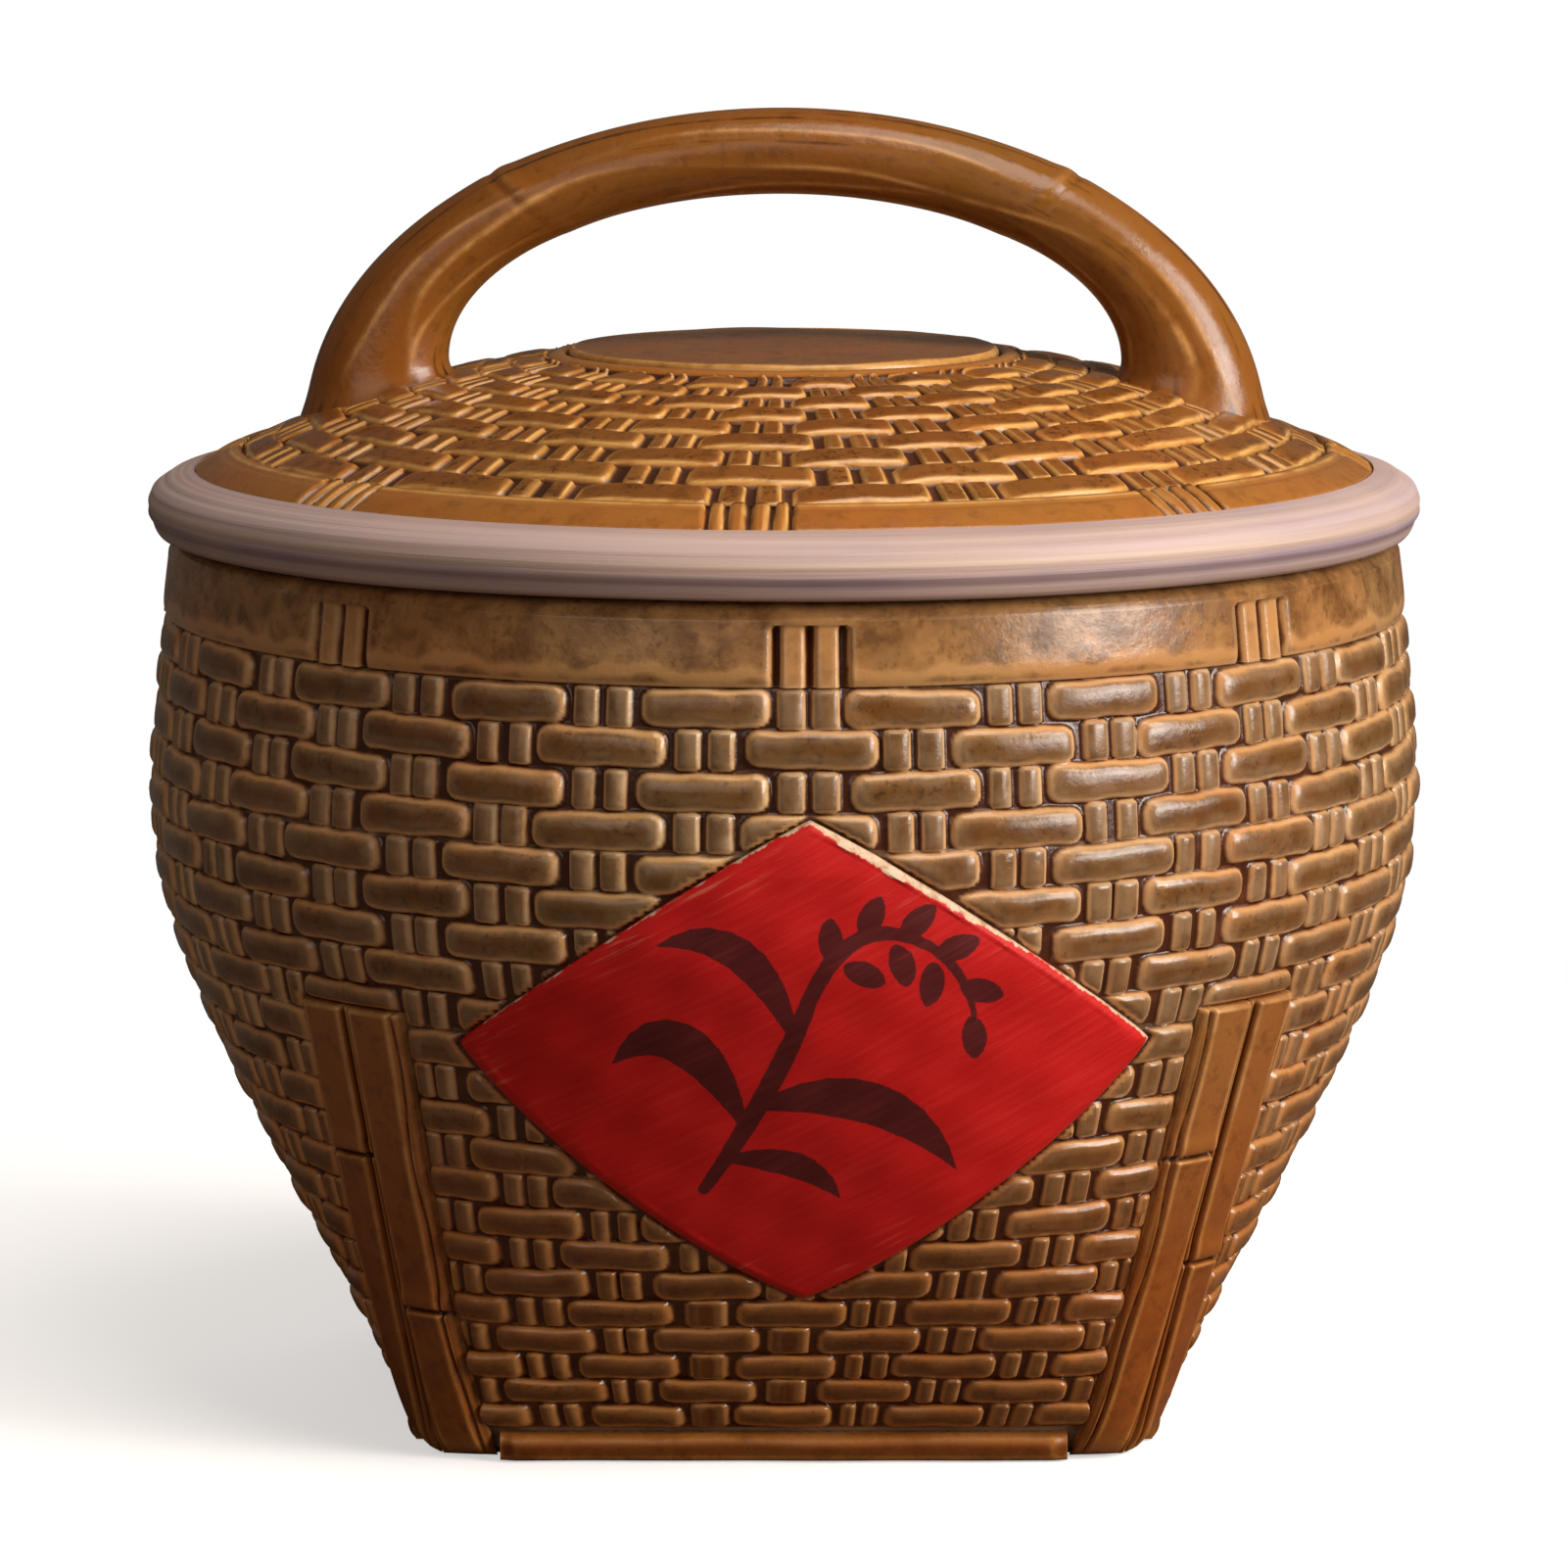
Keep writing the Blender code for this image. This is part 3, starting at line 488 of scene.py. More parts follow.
class Finish:
    """A material being mixed: it adds nodes and joins them."""

    def __init__(self, name):
        self.material = bpy.data.materials.new(name)
        self.material.use_nodes = True
        self.tree = self.material.node_tree
        self.shader = self.tree.nodes["Principled BSDF"]
        self.place = self.add("TexCoord").outputs["Object"]

    def add(self, kind, settings=None, inputs=None):
        made = self.tree.nodes.new("ShaderNode" + kind)
        for key, value in (settings or {}).items():
            setattr(made, key, value)
        for key, value in (inputs or {}).items():
            if isinstance(value, bpy.types.NodeSocket):
                self.tree.links.new(value, made.inputs[key])
            else:
                made.inputs[key].default_value = value
        return made

    def mark(self, name):
        return self.add("Attribute", {"attribute_name": name}).outputs["Fac"]

    def height(self):
        return self.add("SeparateXYZ", None, {"Vector": self.place}).outputs["Z"]

    def noise(self, scale, detail, rough, place=None):
        inputs = {"Vector": place or self.place, "Scale": scale, "Detail": detail, "Roughness": rough}
        return self.add("TexNoise", None, inputs).outputs["Fac"]

    def ranged(self, value, low, high, to_low=0.0, to_high=1.0, shape="SMOOTHSTEP"):
        inputs = {"Value": value, "From Min": low, "From Max": high, "To Min": to_low, "To Max": to_high}
        return self.add("MapRange", {"interpolation_type": shape}, inputs).outputs["Result"]

    def maths(self, operation, a, b=0.0):
        return self.add("Math", {"operation": operation}, {0: a, 1: b}).outputs["Value"]

    def times(self, a, b):
        return self.maths("MULTIPLY", a, b)

    def mixed(self, share, a, b, blend="MIX"):
        inputs = {"Fac": share, "Color1": a, "Color2": b}
        return self.add("MixRGB", {"blend_type": blend}, inputs).outputs["Color"]

    def ramp(self, value, stops):
        made = self.add("ValToRGB", None, {"Fac": value})
        elements = made.color_ramp.elements
        while len(elements) < len(stops):
            elements.new(0.5)
        for element, (position, colour) in zip(elements, stops):
            element.position = position
            element.color = colour
        return made.outputs["Color"]

    def bumps(self, layers):
        """Bump layers, each a height, a distance and a strength."""
        normal = None
        for height, distance, strength in layers:
            inputs = {"Height": height, "Distance": distance, "Strength": strength}
            if normal:
                inputs["Normal"] = normal
            normal = self.add("Bump", None, inputs).outputs["Normal"]
        self.tree.links.new(normal, self.shader.inputs["Normal"])

    def join(self, socket, value):
        self.tree.links.new(value, self.shader.inputs[socket])

    def around_axis(self, across, up, about):
        """Coordinates that follow the wheel: distance from the axis, height and direction."""
        parts = self.add("SeparateXYZ", None, {"Vector": self.place}).outputs
        squares = [self.times(parts[axis], parts[axis]) for axis in ("X", "Y")]
        reach = self.maths("SQRT", self.maths("ADD", *squares))
        inputs = {"X": self.times(reach, across), "Y": self.times(parts["Z"], up)}
        inputs["Z"] = self.times(parts["X"], about)
        return self.add("CombineXYZ", None, inputs).outputs["Vector"]


def glaze(name, pool, thick, skin_tone, crest, rim, speck, gloss=0.24, edges=0.5, dull=0.0):
    """Glaze that pools dark in the recesses, breaks pale over the edges and is speckled on the tops.

    The colours are those of the recesses, the slopes, the tops, the highest places, the edges and the specks.
    The edge colour also goes on the pale edge lines, which carry painted highlight.
    Gloss is the roughness of the tops, edges is how pale the edges are, and dull roughens the recesses.
    """
    made = Finish(name)
    relief = made.mark("relief")
    stand = made.mark("rim")
    tone = made.mark("tone")
    height = made.height()
    cloud = made.noise(16.0, 3.0, 0.55)
    mottle = made.noise(130.0, 4.0, 0.6)
    fine = made.noise(620.0, 4.0, 0.65)
    # The colour by depth, warmer and cooler in clouds, and each slat with its own tone.
    level = made.maths("ADD", relief, made.ranged(mottle, 0.2, 0.8, -0.12, 0.12))
    stops = [(0.03, pool), (0.20, thick), (0.42, skin_tone), (0.64, skin_tone), (0.93, crest)]
    colour = made.ramp(level, stops)
    for share, shade in (
        (made.ranged(cloud, 0.35, 0.7, 0.0, 0.45), tint(255, 210, 168)),
        (made.ranged(cloud, 0.25, 0.5, 0.35, 0.0), tint(206, 214, 178)),
        (made.ranged(tone, -1.0, 1.0, 0.0, 0.30), tint(170, 148, 120)),
    ):
        colour = made.mixed(share, colour, shade, "MULTIPLY")
    # Blotches and fine specks of iron on the tops.
    blotch = made.times(made.ranged(made.noise(210.0, 3.0, 0.7), 0.50, 0.66), made.ranged(relief, 0.5, 0.8))
    colour = made.mixed(made.times(blotch, 0.42), colour, speck)
    patch = made.ranged(made.noise(75.0, 2.0, 0.5), 0.42, 0.60)
    flecks = made.times(made.ranged(fine, 0.52, 0.64), patch)
    flecks = made.times(flecks, made.ranged(relief, 0.70, 0.90))
    colour = made.mixed(made.times(flecks, 0.80), colour, speck)
    # Thicker glaze towards the foot.
    low = made.times(made.ranged(height, 0.085, 0.020), made.ranged(mottle, 0.35, 0.6))
    colour = made.mixed(made.times(low, 0.35), colour, thick)
    # Pale where it runs thin over an edge, and along the pale edge lines, which also carry painted highlight;
    # dark where it gathers in a hollow.
    edge = made.times(made.ranged(stand, 0.06, 0.24), made.ranged(mottle, 0.30, 0.62, 0.35, 1.0))
    colour = made.mixed(made.times(edge, edges), colour, rim)
    line = made.times(made.mark("pale_line_and_highlight"), made.ranged(mottle, 0.30, 0.60, 0.25, 1.0))
    colour = made.mixed(made.times(line, 0.8), colour, rim)
    colour = made.mixed(made.times(made.ranged(stand, -0.06, -0.28), 0.65), colour, pool)
    # Darker and warmer towards the foot.
    lower = made.ranged(height, 0.125, 0.030)
    colour = made.mixed(lower, colour, tint(234, 202, 158), "MULTIPLY")
    made.join("Base Color", colour)
    rough = made.ranged(mottle, 0.25, 0.8, gloss - 0.06, gloss + 0.14)
    made.join("Roughness", made.maths("ADD", rough, made.ranged(relief, 0.50, 0.05, 0.0, dull)))
    made.shader.inputs["IOR"].default_value = 1.5
    made.bumps([(mottle, 0.0009, 0.20), (fine, 0.00022, 0.30)])
    return made.material


def bare_clay(name):
    """Unglazed lip: pale and grey clay with throwing lines, a cream band on the ridge as painted highlight,
    and painted shade below it.
    """
    made = Finish(name)
    rings = made.noise(1.0, 3.0, 0.6, made.around_axis(520.0, 520.0, 9.0))
    broad = made.noise(1.0, 2.0, 0.5, made.around_axis(200.0, 200.0, 5.0))
    grain = made.noise(1500.0, 3.0, 0.7)
    cloud = made.noise(20.0, 3.0, 0.5)
    sway = made.ranged(broad, 0.25, 0.75, -0.0006, 0.0006)
    level = made.ranged(made.maths("ADD", made.height(), sway), LID_LIP_Z, BORDER_Z, shape="LINEAR")
    # The clay's own pink and grey by height, with painted light: the cream band on the ridge is a painted
    # highlight, and the grey-violet under the ridge and on the underside at the lowest edge is painted shade.
    clay_tints_and_painted_light = [
        (0.00, tint(136, 109, 102)),
        (0.10, tint(178, 153, 147)),
        (0.20, tint(162, 140, 141)),
        (0.29, tint(142, 121, 132)),
        (0.38, tint(151, 131, 139)),
        (0.45, tint(186, 162, 154)),
        (0.52, tint(207, 184, 169)),
        (0.60, tint(189, 166, 160)),
        (0.74, tint(184, 162, 164)),
        (0.88, tint(193, 171, 167)),
        (1.00, tint(173, 149, 149)),
    ]
    base = made.ramp(level, clay_tints_and_painted_light)
    base = made.mixed(made.ranged(rings, 0.35, 0.65, 0.0, 0.45), base, tint(222, 206, 200), "MULTIPLY")
    base = made.mixed(made.ranged(rings, 0.55, 0.75, 0.0, 0.30), base, tint(226, 198, 180))
    base = made.mixed(made.ranged(cloud, 0.4, 0.7, 0.0, 0.25), base, tint(206, 172, 150))
    base = made.mixed(made.ranged(grain, 0.62, 0.76, 0.0, 0.22), base, tint(128, 98, 88))
    made.join("Base Color", base)
    made.join("Roughness", made.ranged(cloud, 0.3, 0.7, 0.46, 0.62))
    made.bumps([(rings, 0.0006, 0.45), (grain, 0.0001, 0.3)])
    return made.material


def foot_clay(name):
    """The rough bare clay that the jar stands on."""
    made = Finish(name)
    grain = made.noise(900.0, 4.0, 0.7)
    cloud = made.noise(26.0, 4.0, 0.6)
    shades = [(0.3, tint(150, 116, 92)), (0.6, tint(186, 150, 122)), (0.8, tint(200, 168, 140))]
    base = made.ramp(cloud, shades)
    base = made.mixed(made.ranged(grain, 0.60, 0.72, 0.0, 0.6), base, tint(108, 78, 60))
    made.join("Base Color", base)
    made.join("Roughness", made.ranged(grain, 0.3, 0.7, 0.72, 0.90))
    made.bumps([(grain, 0.0003, 0.5)])
    return made.material


def red_paint(name):
    """Red paint brushed over the plaque, worn through to cream at its edges, with a sprig in dark brown."""
    made = Finish(name)
    slope = made.add("Mapping", None, {"Vector": made.place, "Rotation": (0.0, 0.5, 0.0)}).outputs["Vector"]
    slope = made.add("Mapping", None, {"Vector": slope, "Scale": (60.0, 60.0, 900.0)}).outputs["Vector"]
    brush = made.noise(1.0, 4.0, 0.6, slope)
    cloud = made.noise(30.0, 3.0, 0.6)
    chips = made.noise(420.0, 3.0, 0.65)
    red = made.ramp(brush, [(0.25, tint(186, 22, 22)), (0.5, tint(196, 26, 25)), (0.85, tint(204, 40, 36))])
    red = made.mixed(made.ranged(cloud, 0.35, 0.7, 0.0, 0.30), red, tint(180, 20, 22))
    margin = made.mark("margin")
    # Pale streaks along the brush marks near the edge: a painted highlight on the paint's ridges.
    border = made.times(made.ranged(margin, 7.0, 1.5), made.ranged(cloud, 0.46, 0.60))
    streaks = made.times(border, made.ranged(brush, 0.56, 0.68))
    red = made.mixed(made.times(streaks, 0.38), red, tint(226, 128, 100))
    ink = made.mark("ink")
    dry = made.ranged(brush, 0.35, 0.75, -0.14, 0.14)
    wet = made.ranged(made.maths("ADD", ink, dry), -0.12, 0.16)
    brown = made.ramp(brush, [(0.3, tint(58, 22, 24)), (0.62, tint(72, 28, 28)), (0.85, tint(120, 32, 30))])
    painted = made.mixed(made.times(wet, 0.93), red, brown)
    bare = made.maths("ADD", margin, made.ranged(chips, 0.3, 0.7, -0.22, 0.22))
    cream = made.mixed(made.ranged(chips, 0.4, 0.7), tint(214, 184, 156), tint(172, 134, 98))
    made.join("Base Color", made.mixed(made.ranged(bare, -0.12, 0.12), cream, painted))
    made.join("Roughness", made.ranged(brush, 0.3, 0.8, 0.46, 0.62))
    made.shader.inputs["Specular IOR Level"].default_value = 0.22
    made.bumps([(brush, 0.0005, 0.40), (chips, 0.0002, 0.15)])
    return made.material


body_glaze = glaze(
    "olive brown glaze",
    pool=tint(72, 36, 18),
    thick=tint(118, 72, 38),
    skin_tone=tint(194, 146, 93),
    crest=tint(110, 72, 32),
    rim=tint(228, 194, 152),
    speck=tint(66, 36, 12),
    gloss=0.20,
    edges=0.16,
)
trim_glaze = glaze(
    "amber glaze on trim",
    pool=tint(54, 27, 10),
    thick=tint(102, 60, 26),
    skin_tone=tint(158, 106, 54),
    crest=tint(146, 96, 48),
    rim=tint(214, 166, 108),
    speck=tint(74, 40, 16),
)
lid_glaze = glaze(
    "golden brown lid glaze",
    pool=tint(70, 32, 10),
    thick=tint(104, 58, 20),
    skin_tone=tint(168, 108, 48),
    crest=tint(136, 84, 34),
    rim=tint(238, 186, 108),
    speck=tint(70, 34, 10),
    gloss=0.18,
    edges=0.08,
    dull=0.22,
)
handle_glaze = glaze(
    "amber glaze on handle",
    pool=tint(60, 28, 8),
    thick=tint(96, 56, 20),
    skin_tone=tint(140, 88, 32),
    crest=tint(124, 76, 26),
    rim=tint(216, 158, 90),
    speck=tint(72, 36, 10),
    gloss=0.22,
)
crown_glaze = glaze(
    "brown glaze on crown",
    pool=tint(70, 38, 18),
    thick=tint(112, 68, 34),
    skin_tone=tint(142, 92, 52),
    crest=tint(134, 86, 48),
    rim=tint(210, 156, 84),
    speck=tint(78, 44, 20),
    gloss=0.2,
)
lip_clay = bare_clay("bare pink clay")
base_clay = foot_clay("bare clay under foot")
plaque_paint = red_paint("red painted plaque")


def strip_inner_angle(z):
    """Direction of the strip's edge that lies one strip width along the face from the corner."""
    low = np.zeros_like(z)
    high = np.full_like(z, math.pi / 4)
    corner = skin(z, high, -WEAVE_DEPTH)
    for _ in range(40):
        middle = (low + high) / 2
        width = STRIP_FOOT_WIDTH + (STRIP_WIDTH - STRIP_FOOT_WIDTH) * z / STRIP_TOP
        far = np.linalg.norm(skin(z, middle, -WEAVE_DEPTH) - corner, axis=-1) > width
        low = np.where(far, middle, low)
        high = np.where(far, high, middle)
    return low


STRIP_Z = np.linspace(0.0, STRIP_TOP + 0.004, 60)
STRIP_EDGE = strip_inner_angle(STRIP_Z)


def trim_mask(z, angle, points):
    """0 under the corner strips and the plaque, 1 on the open weave."""
    turn = np.abs(from_nearest(angle, 4))
    inner = np.interp(z, STRIP_Z, STRIP_EDGE)
    reach = np.hypot(points[..., 0], points[..., 1])
    along = reach * np.sin(turn)
    edge = radius(z, inner, -WEAVE_DEPTH) * np.sin(inner)
    beside = (edge - along) / MM
    above = (z - STRIP_TOP) / MM
    clear_of_strip = ease((np.maximum(beside, above) + 0.2) / 1.1)
    points = twisted(points)
    x, up = points[..., 0], z - PLAQUE_Z
    turn = np.arctan2(up, x)
    outline = np.hypot(*plaque_outline(turn))
    beyond = (np.hypot(x, up) - outline) / MM * 0.8
    clear_of_plaque = np.where(points[..., 1] < 0, ease((beyond - 0.2) / 1.1), 1.0)
    return clear_of_strip * clear_of_plaque


def plaque_outline(turn):
    """Places on the plaque's edge, across and up from its middle."""
    up = np.sin(turn) >= 0
    tall = np.where(up, PLAQUE_UP, PLAQUE_DOWN)
    power = np.where(up, PLAQUE_BULGE_UP, PLAQUE_BULGE_DOWN)
    spread = np.abs(np.cos(turn) / PLAQUE_HALF) ** power + np.abs(np.sin(turn) / tall) ** power
    reach = spread ** (-1 / power)
    return reach * np.cos(turn), reach * np.sin(turn)


# Where the points of a course lie, in shares of a column or a row: closer together where a form ends.
WALL_STEPS = (0.025, 0.045, 0.085, 0.16, 0.235, 0.275, 0.30, 0.325, 0.35, 0.375, 0.41, 0.455)
DOME_STEPS = (0.035, 0.05, 0.07, 0.10, 0.155, 0.21, 0.24, 0.26, 0.275, 0.31, 0.335, 0.36, 0.39, 0.425, 0.465)
ROW_STEPS = (0.0, 0.03, 0.07, 0.11, 0.16, 0.23, 0.34, 0.5, 0.66, 0.77, 0.84, 0.89, 0.93, 0.97)
LINING_STEPS = 6


def weave_grid(column_count, steps, first_row, last_row):
    """The columns and rows on which the points of a course lie."""
    steps = (-0.5, *(-step for step in reversed(steps)), 0.0, *steps)
    columns = [column + step for column in range(column_count) for step in steps]
    rows = [row + step for row in range(first_row, last_row) for step in ROW_STEPS]
    return np.array([*columns, column_count - 0.5]), np.array([*rows, last_row], float)


def add_wall_course(name, first_row, last_row):
    """Some rows of the wall: down the woven skin, then back up the plain lining."""
    columns, rows = weave_grid(WEAVE_COLUMNS, WALL_STEPS, first_row, last_row)
    column, row = np.meshgrid(columns, rows)
    z = row_height(row)
    angle = column_angle(column, z)
    bare = skin(z, angle, -WEAVE_SINK)
    tall = np.gradient(row_height(rows), rows)[:, None] / -MM * np.ones_like(z)
    wide = 2 * math.pi * np.hypot(bare[..., 0], bare[..., 1]) / WEAVE_COLUMNS / MM
    height, relief, tone, line = weave_height(column, row, wide, tall, WEAVE_COLUMNS, WEAVE_ROWS, BODY_WEAVE)
    mask = trim_mask(z, angle, bare)
    relief = relief * mask
    line = line * mask
    outer = skin(z, angle, -WEAVE_SINK + WEAVE_RELIEF * height * mask)
    lining_z = np.linspace(row_height(last_row), row_height(first_row), LINING_STEPS)
    lining_column, lining_z = np.meshgrid(columns, lining_z)
    lining = skin(lining_z, column_angle(lining_column, lining_z), -WEAVE_DEPTH - WALL)
    plain = np.zeros_like(lining_z)
    marks = {
        "relief": np.concatenate([relief, plain + 0.6, relief[:1]]),
        "tone": np.concatenate([tone, plain, tone[:1]]),
        "pale_line_and_highlight": np.concatenate([line, plain, line[:1]]),
    }
    piece = wrapped_grid(name, twisted(np.concatenate([outer, lining, outer[:1]])), marks)
    settle(piece, "jar", body_glaze, ["jar_wall"])


add_wall_course("wall_weave_under_band", 0, 4)
add_wall_course("wall_weave_upper", 4, 9)
add_wall_course("wall_weave_middle", 9, 13)
add_wall_course("wall_weave_lower", 13, 18)
add_wall_course("wall_weave_at_foot", 18, 22)


# Points round the band and the border.
RING_STEPS = 1200


def spun(profile):
    """The numbers of a profile carried round the axis, and the direction of each place."""
    rows = [np.array(part)[:, None] * np.ones(RING_STEPS + 1) for part in zip(*profile)]
    angle = (np.linspace(0, 2 * math.pi, RING_STEPS + 1) + FRONT) * np.ones_like(rows[0])
    return *rows, angle


def add_band():
    """The band at the mouth, with windows that show the stakes behind it."""
    edge_round, edge_slope = 0.0035, 0.0056
    window_z, stake_z, foot_line_z = 0.1784, 0.1778, 0.1764
    window_deep = 2.4
    heights = [BAND_Z, 0.1740, 0.1743, 0.1748, 0.1755, 0.1762, *np.linspace(0.1772, 0.1852, 11)]
    heights += list(np.linspace(0.1856, 0.1873, 7))
    # Distance from the axis, height, and 1 on the open face that holds the windows.
    profile = [(half_width(BAND_Z).item() - 0.0050, BAND_Z + 0.0002, 0.0)]
    profile += [(half_width(z).item(), z, 1.0) for z in heights]
    for step in range(1, 10):
        turn = math.pi / 2 * step / 9
        z = RIM_Z - edge_round + edge_round * math.sin(turn)
        reach = half_width(RIM_Z).item() - edge_slope * (1 - math.cos(turn))
        if z > heights[-1] + 0.0001:
            profile.append((reach, z, 0.0))
    profile += [(MOUTH_RADIUS + 0.0010, RIM_Z, 0.0), (MOUTH_RADIUS, RIM_Z - 0.0008, 0.0)]
    profile += [(MOUTH_RADIUS, 0.1820, 0.0), (MOUTH_RADIUS, BAND_Z + 0.0002, 0.0), profile[0]]
    reach, z, open_face, angle = spun(profile)
    x = from_nearest(angle, BINDING_COUNT) * RIM_HALF / MM
    inside = rounded_bar(x, (z - window_z) / MM, BINDING_WIDTH / 2 / MM, 8.0, 1.2, 1.2)
    stakes = np.zeros_like(x)
    for side in (-1, 1):
        bar = rounded_bar(x - side * 3.45, (z - stake_z) / MM, 2.85, 9.2, 1.0, 1.0)
        stakes = np.maximum(stakes, bar * 0.80)
    depth = inside * (1 - stakes) * window_deep * MM * open_face
    roll = 1.1 * MM * np.exp(-((z - BAND_Z) / 0.0013)) * (1 - inside) * open_face
    place = placed(reach - depth - roll - CLEARANCE, angle, z)
    relief = np.clip(1 - depth / (window_deep * MM), 0, 1) * 0.80
    # A darker, wavering line along the band's foot: glaze pooled at the joint, and painted shade under the
    # band's overhang.
    wander = 0.0006 * np.sin(angle * 23) + 0.0005 * np.sin(angle * 41 + 1) + 0.0004 * np.sin(angle * 87 + 2)
    pooled_glaze_and_painted_shade = bell(z - foot_line_z - wander, 0.0013) + ease((BAND_Z + 0.0012 - z) / 0.0010)
    relief = relief - 0.27 * np.clip(pooled_glaze_and_painted_shade, 0, 1) * (1 - inside) * open_face
    piece = wrapped_grid("mouth_band_with_windows", place, {"relief": relief, "tone": relief * 0})
    nodes = ["mouth_band"] + [f"band_binding_{n + 1}" for n in range(BINDING_COUNT)]
    settle(piece, "jar", body_glaze, nodes)


add_band()


def add_strip(corner, face, node_z, quarter, other):
    """A flat bamboo strip beside a corner, with a thin ridge along each side and one node."""
    across_steps, base_steps = 48, 4
    foot_levels = [0.0, 0.0, 0.0003, 0.0008, 0.0016, 0.0026]
    node_levels = node_z + np.arange(-13, 14) * 0.0003
    top_levels = STRIP_TOP - np.array([0.0009, 0.0005, 0.0002, 0.0, 0.0])
    levels = [foot_levels, np.linspace(0.0040, STRIP_TOP - 0.0014, 84), node_levels, top_levels]
    levels = np.clip(np.sort(np.concatenate(levels)), TRIM_LIFT, STRIP_TOP)
    # The base runs straight along the face, from the corner to the weave, and the strip rises from it.
    corner_point = skin(levels, np.full_like(levels, math.pi / 4), -WEAVE_DEPTH)
    chord = skin(levels, strip_inner_angle(levels), -WEAVE_DEPTH) - corner_point
    reach = np.linalg.norm(chord, axis=-1)
    along = chord / reach[:, None]
    outward = np.stack([-along[:, 1], along[:, 0], np.zeros_like(reach)], -1)
    flip = np.where((outward * corner_point).sum(-1) < 0, -1.0, 1.0)
    outward = outward * flip[:, None]
    even = np.arange(across_steps + 1) / across_steps
    share = 0.45 * even + 0.55 * (1 - np.cos(math.pi * even)) / 2
    # The section, by the distance in millimetres from the corner and from the weave.
    near_corner = share[None, :] * reach[:, None] / MM
    near_weave = (1 - share[None, :]) * reach[:, None] / MM
    edge = np.minimum(near_corner, near_weave)
    body = (1 - (1 - np.clip(edge / 1.9, 0, 1)) ** 2) ** 0.55
    sway = 0.25 * np.sin(levels * 160 + quarter)[:, None]
    ledge = 0.20 * (1 - ease((edge - 1.5) / 0.7))
    groove = 0.24 * bell(near_corner - 1.6, 0.35) + 0.34 * bell(near_weave - 2.3 - sway, 0.42)
    arch = 0.16 * (2 * share[None, :] - 1) ** 2
    section = np.clip(body * (1 - arch) - ledge * body - groove, 0, 2)
    # The node and the crease under it, by the height in millimetres above each.
    up = (levels - node_z) / MM
    over_crease = up + 1.3
    node = 0.13 * bell(up - 0.6, 2.4) * (up > -1.0) - 0.34 * bell(over_crease, 0.55)
    step = 0.06 * bell(up + 2.6, 1.2)
    foot = np.clip((levels - TRIM_LIFT) / 0.0065, 0, 1)
    top = np.clip((STRIP_TOP - levels) / 0.0009, 0, 1)
    close = np.sqrt(1 - (1 - foot) ** 2) * np.sqrt(1 - (1 - top) ** 2)
    swell = (1 + node + step) * close
    rise = STRIP_RISE * swell[:, None] * section * 0.97
    start = corner_point + along * CLEARANCE
    span = reach - CLEARANCE
    face_points = start[:, None] + along[:, None] * (span[:, None] * share[None, :])[..., None]
    mitre = 0.55 * np.clip(1 - near_corner / 4.5, 0, 1)
    face_points = face_points + (outward[:, None] - along[:, None] * mitre[..., None]) * rise[..., None]
    back = np.linspace(1, 0, base_steps + 1)[1:]
    back_points = start[:, None] + along[:, None] * (span[:, None] * back[None, :])[..., None]
    back_points = back_points - outward[:, None] * (0.0004 * np.sin(math.pi * back))[None, :, None]
    place = np.concatenate([face_points, back_points], 1)
    middle = place.mean(1, keepdims=True)
    place[0] = middle[0]
    place[-1] = middle[-1]
    if other:
        place = place[..., [1, 0, 2]]
    place = twisted(turned(place, -math.pi / 2 + quarter * math.pi / 2))
    on_face = slice(0, across_steps + 1)
    relief = np.full(place.shape[:2], 0.72)
    relief[:, on_face] = 0.72 * ease(edge / 0.9) - 1.1 * groove
    relief -= (0.62 * bell(over_crease, 0.7))[:, None]
    relief -= (0.22 * bell(up - 2.2, 2.0))[:, None]
    relief[:, across_steps + 1:] = 0
    pale_line_and_highlight = np.zeros_like(relief)
    shoulder = bell(near_weave - 3.4 - sway, 0.45) + 0.7 * bell(near_corner - 2.5, 0.35)
    pale_line_and_highlight[:, on_face] = 0.75 * shoulder + 0.35 * bell(near_weave - 1.1, 0.35)
    pale_line_and_highlight *= (1 - bell(over_crease, 0.8))[:, None]
    pale_line_and_highlight[:, on_face] += (0.8 * bell(up + 2.2, 0.35))[:, None] * ease(edge / 2.0 - 1)
    node_name = "corner_strip_" + corner + "_" + face
    piece = wrapped_grid("bamboo_" + node_name, place, {"relief": relief, "tone": relief * 0, "pale_line_and_highlight": pale_line_and_highlight})
    settle(piece, "jar", trim_glaze, [node_name])


for quarter, (corner, first, first_z, second, second_z) in enumerate(NODE_HEIGHTS):
    add_strip(corner, first, first_z, quarter, False)
    add_strip(corner, second, second_z, quarter, True)


# The rail's section, in shares of its depth and height: up its back, over the top and down its front.
RAIL_SECTION = (
    (0.0, 0.0), (0.0, 1.0), (0.36, 1.0), (0.54, 0.985), (0.68, 0.95), (0.79, 0.89),
    (0.87, 0.81), (0.92, 0.72), (0.94, 0.62), (0.935, 0.52), (0.91, 0.42), (0.87, 0.31),
    (0.81, 0.19), (0.73, 0.09), (0.62, 0.0), (0.0, 0.0),
)


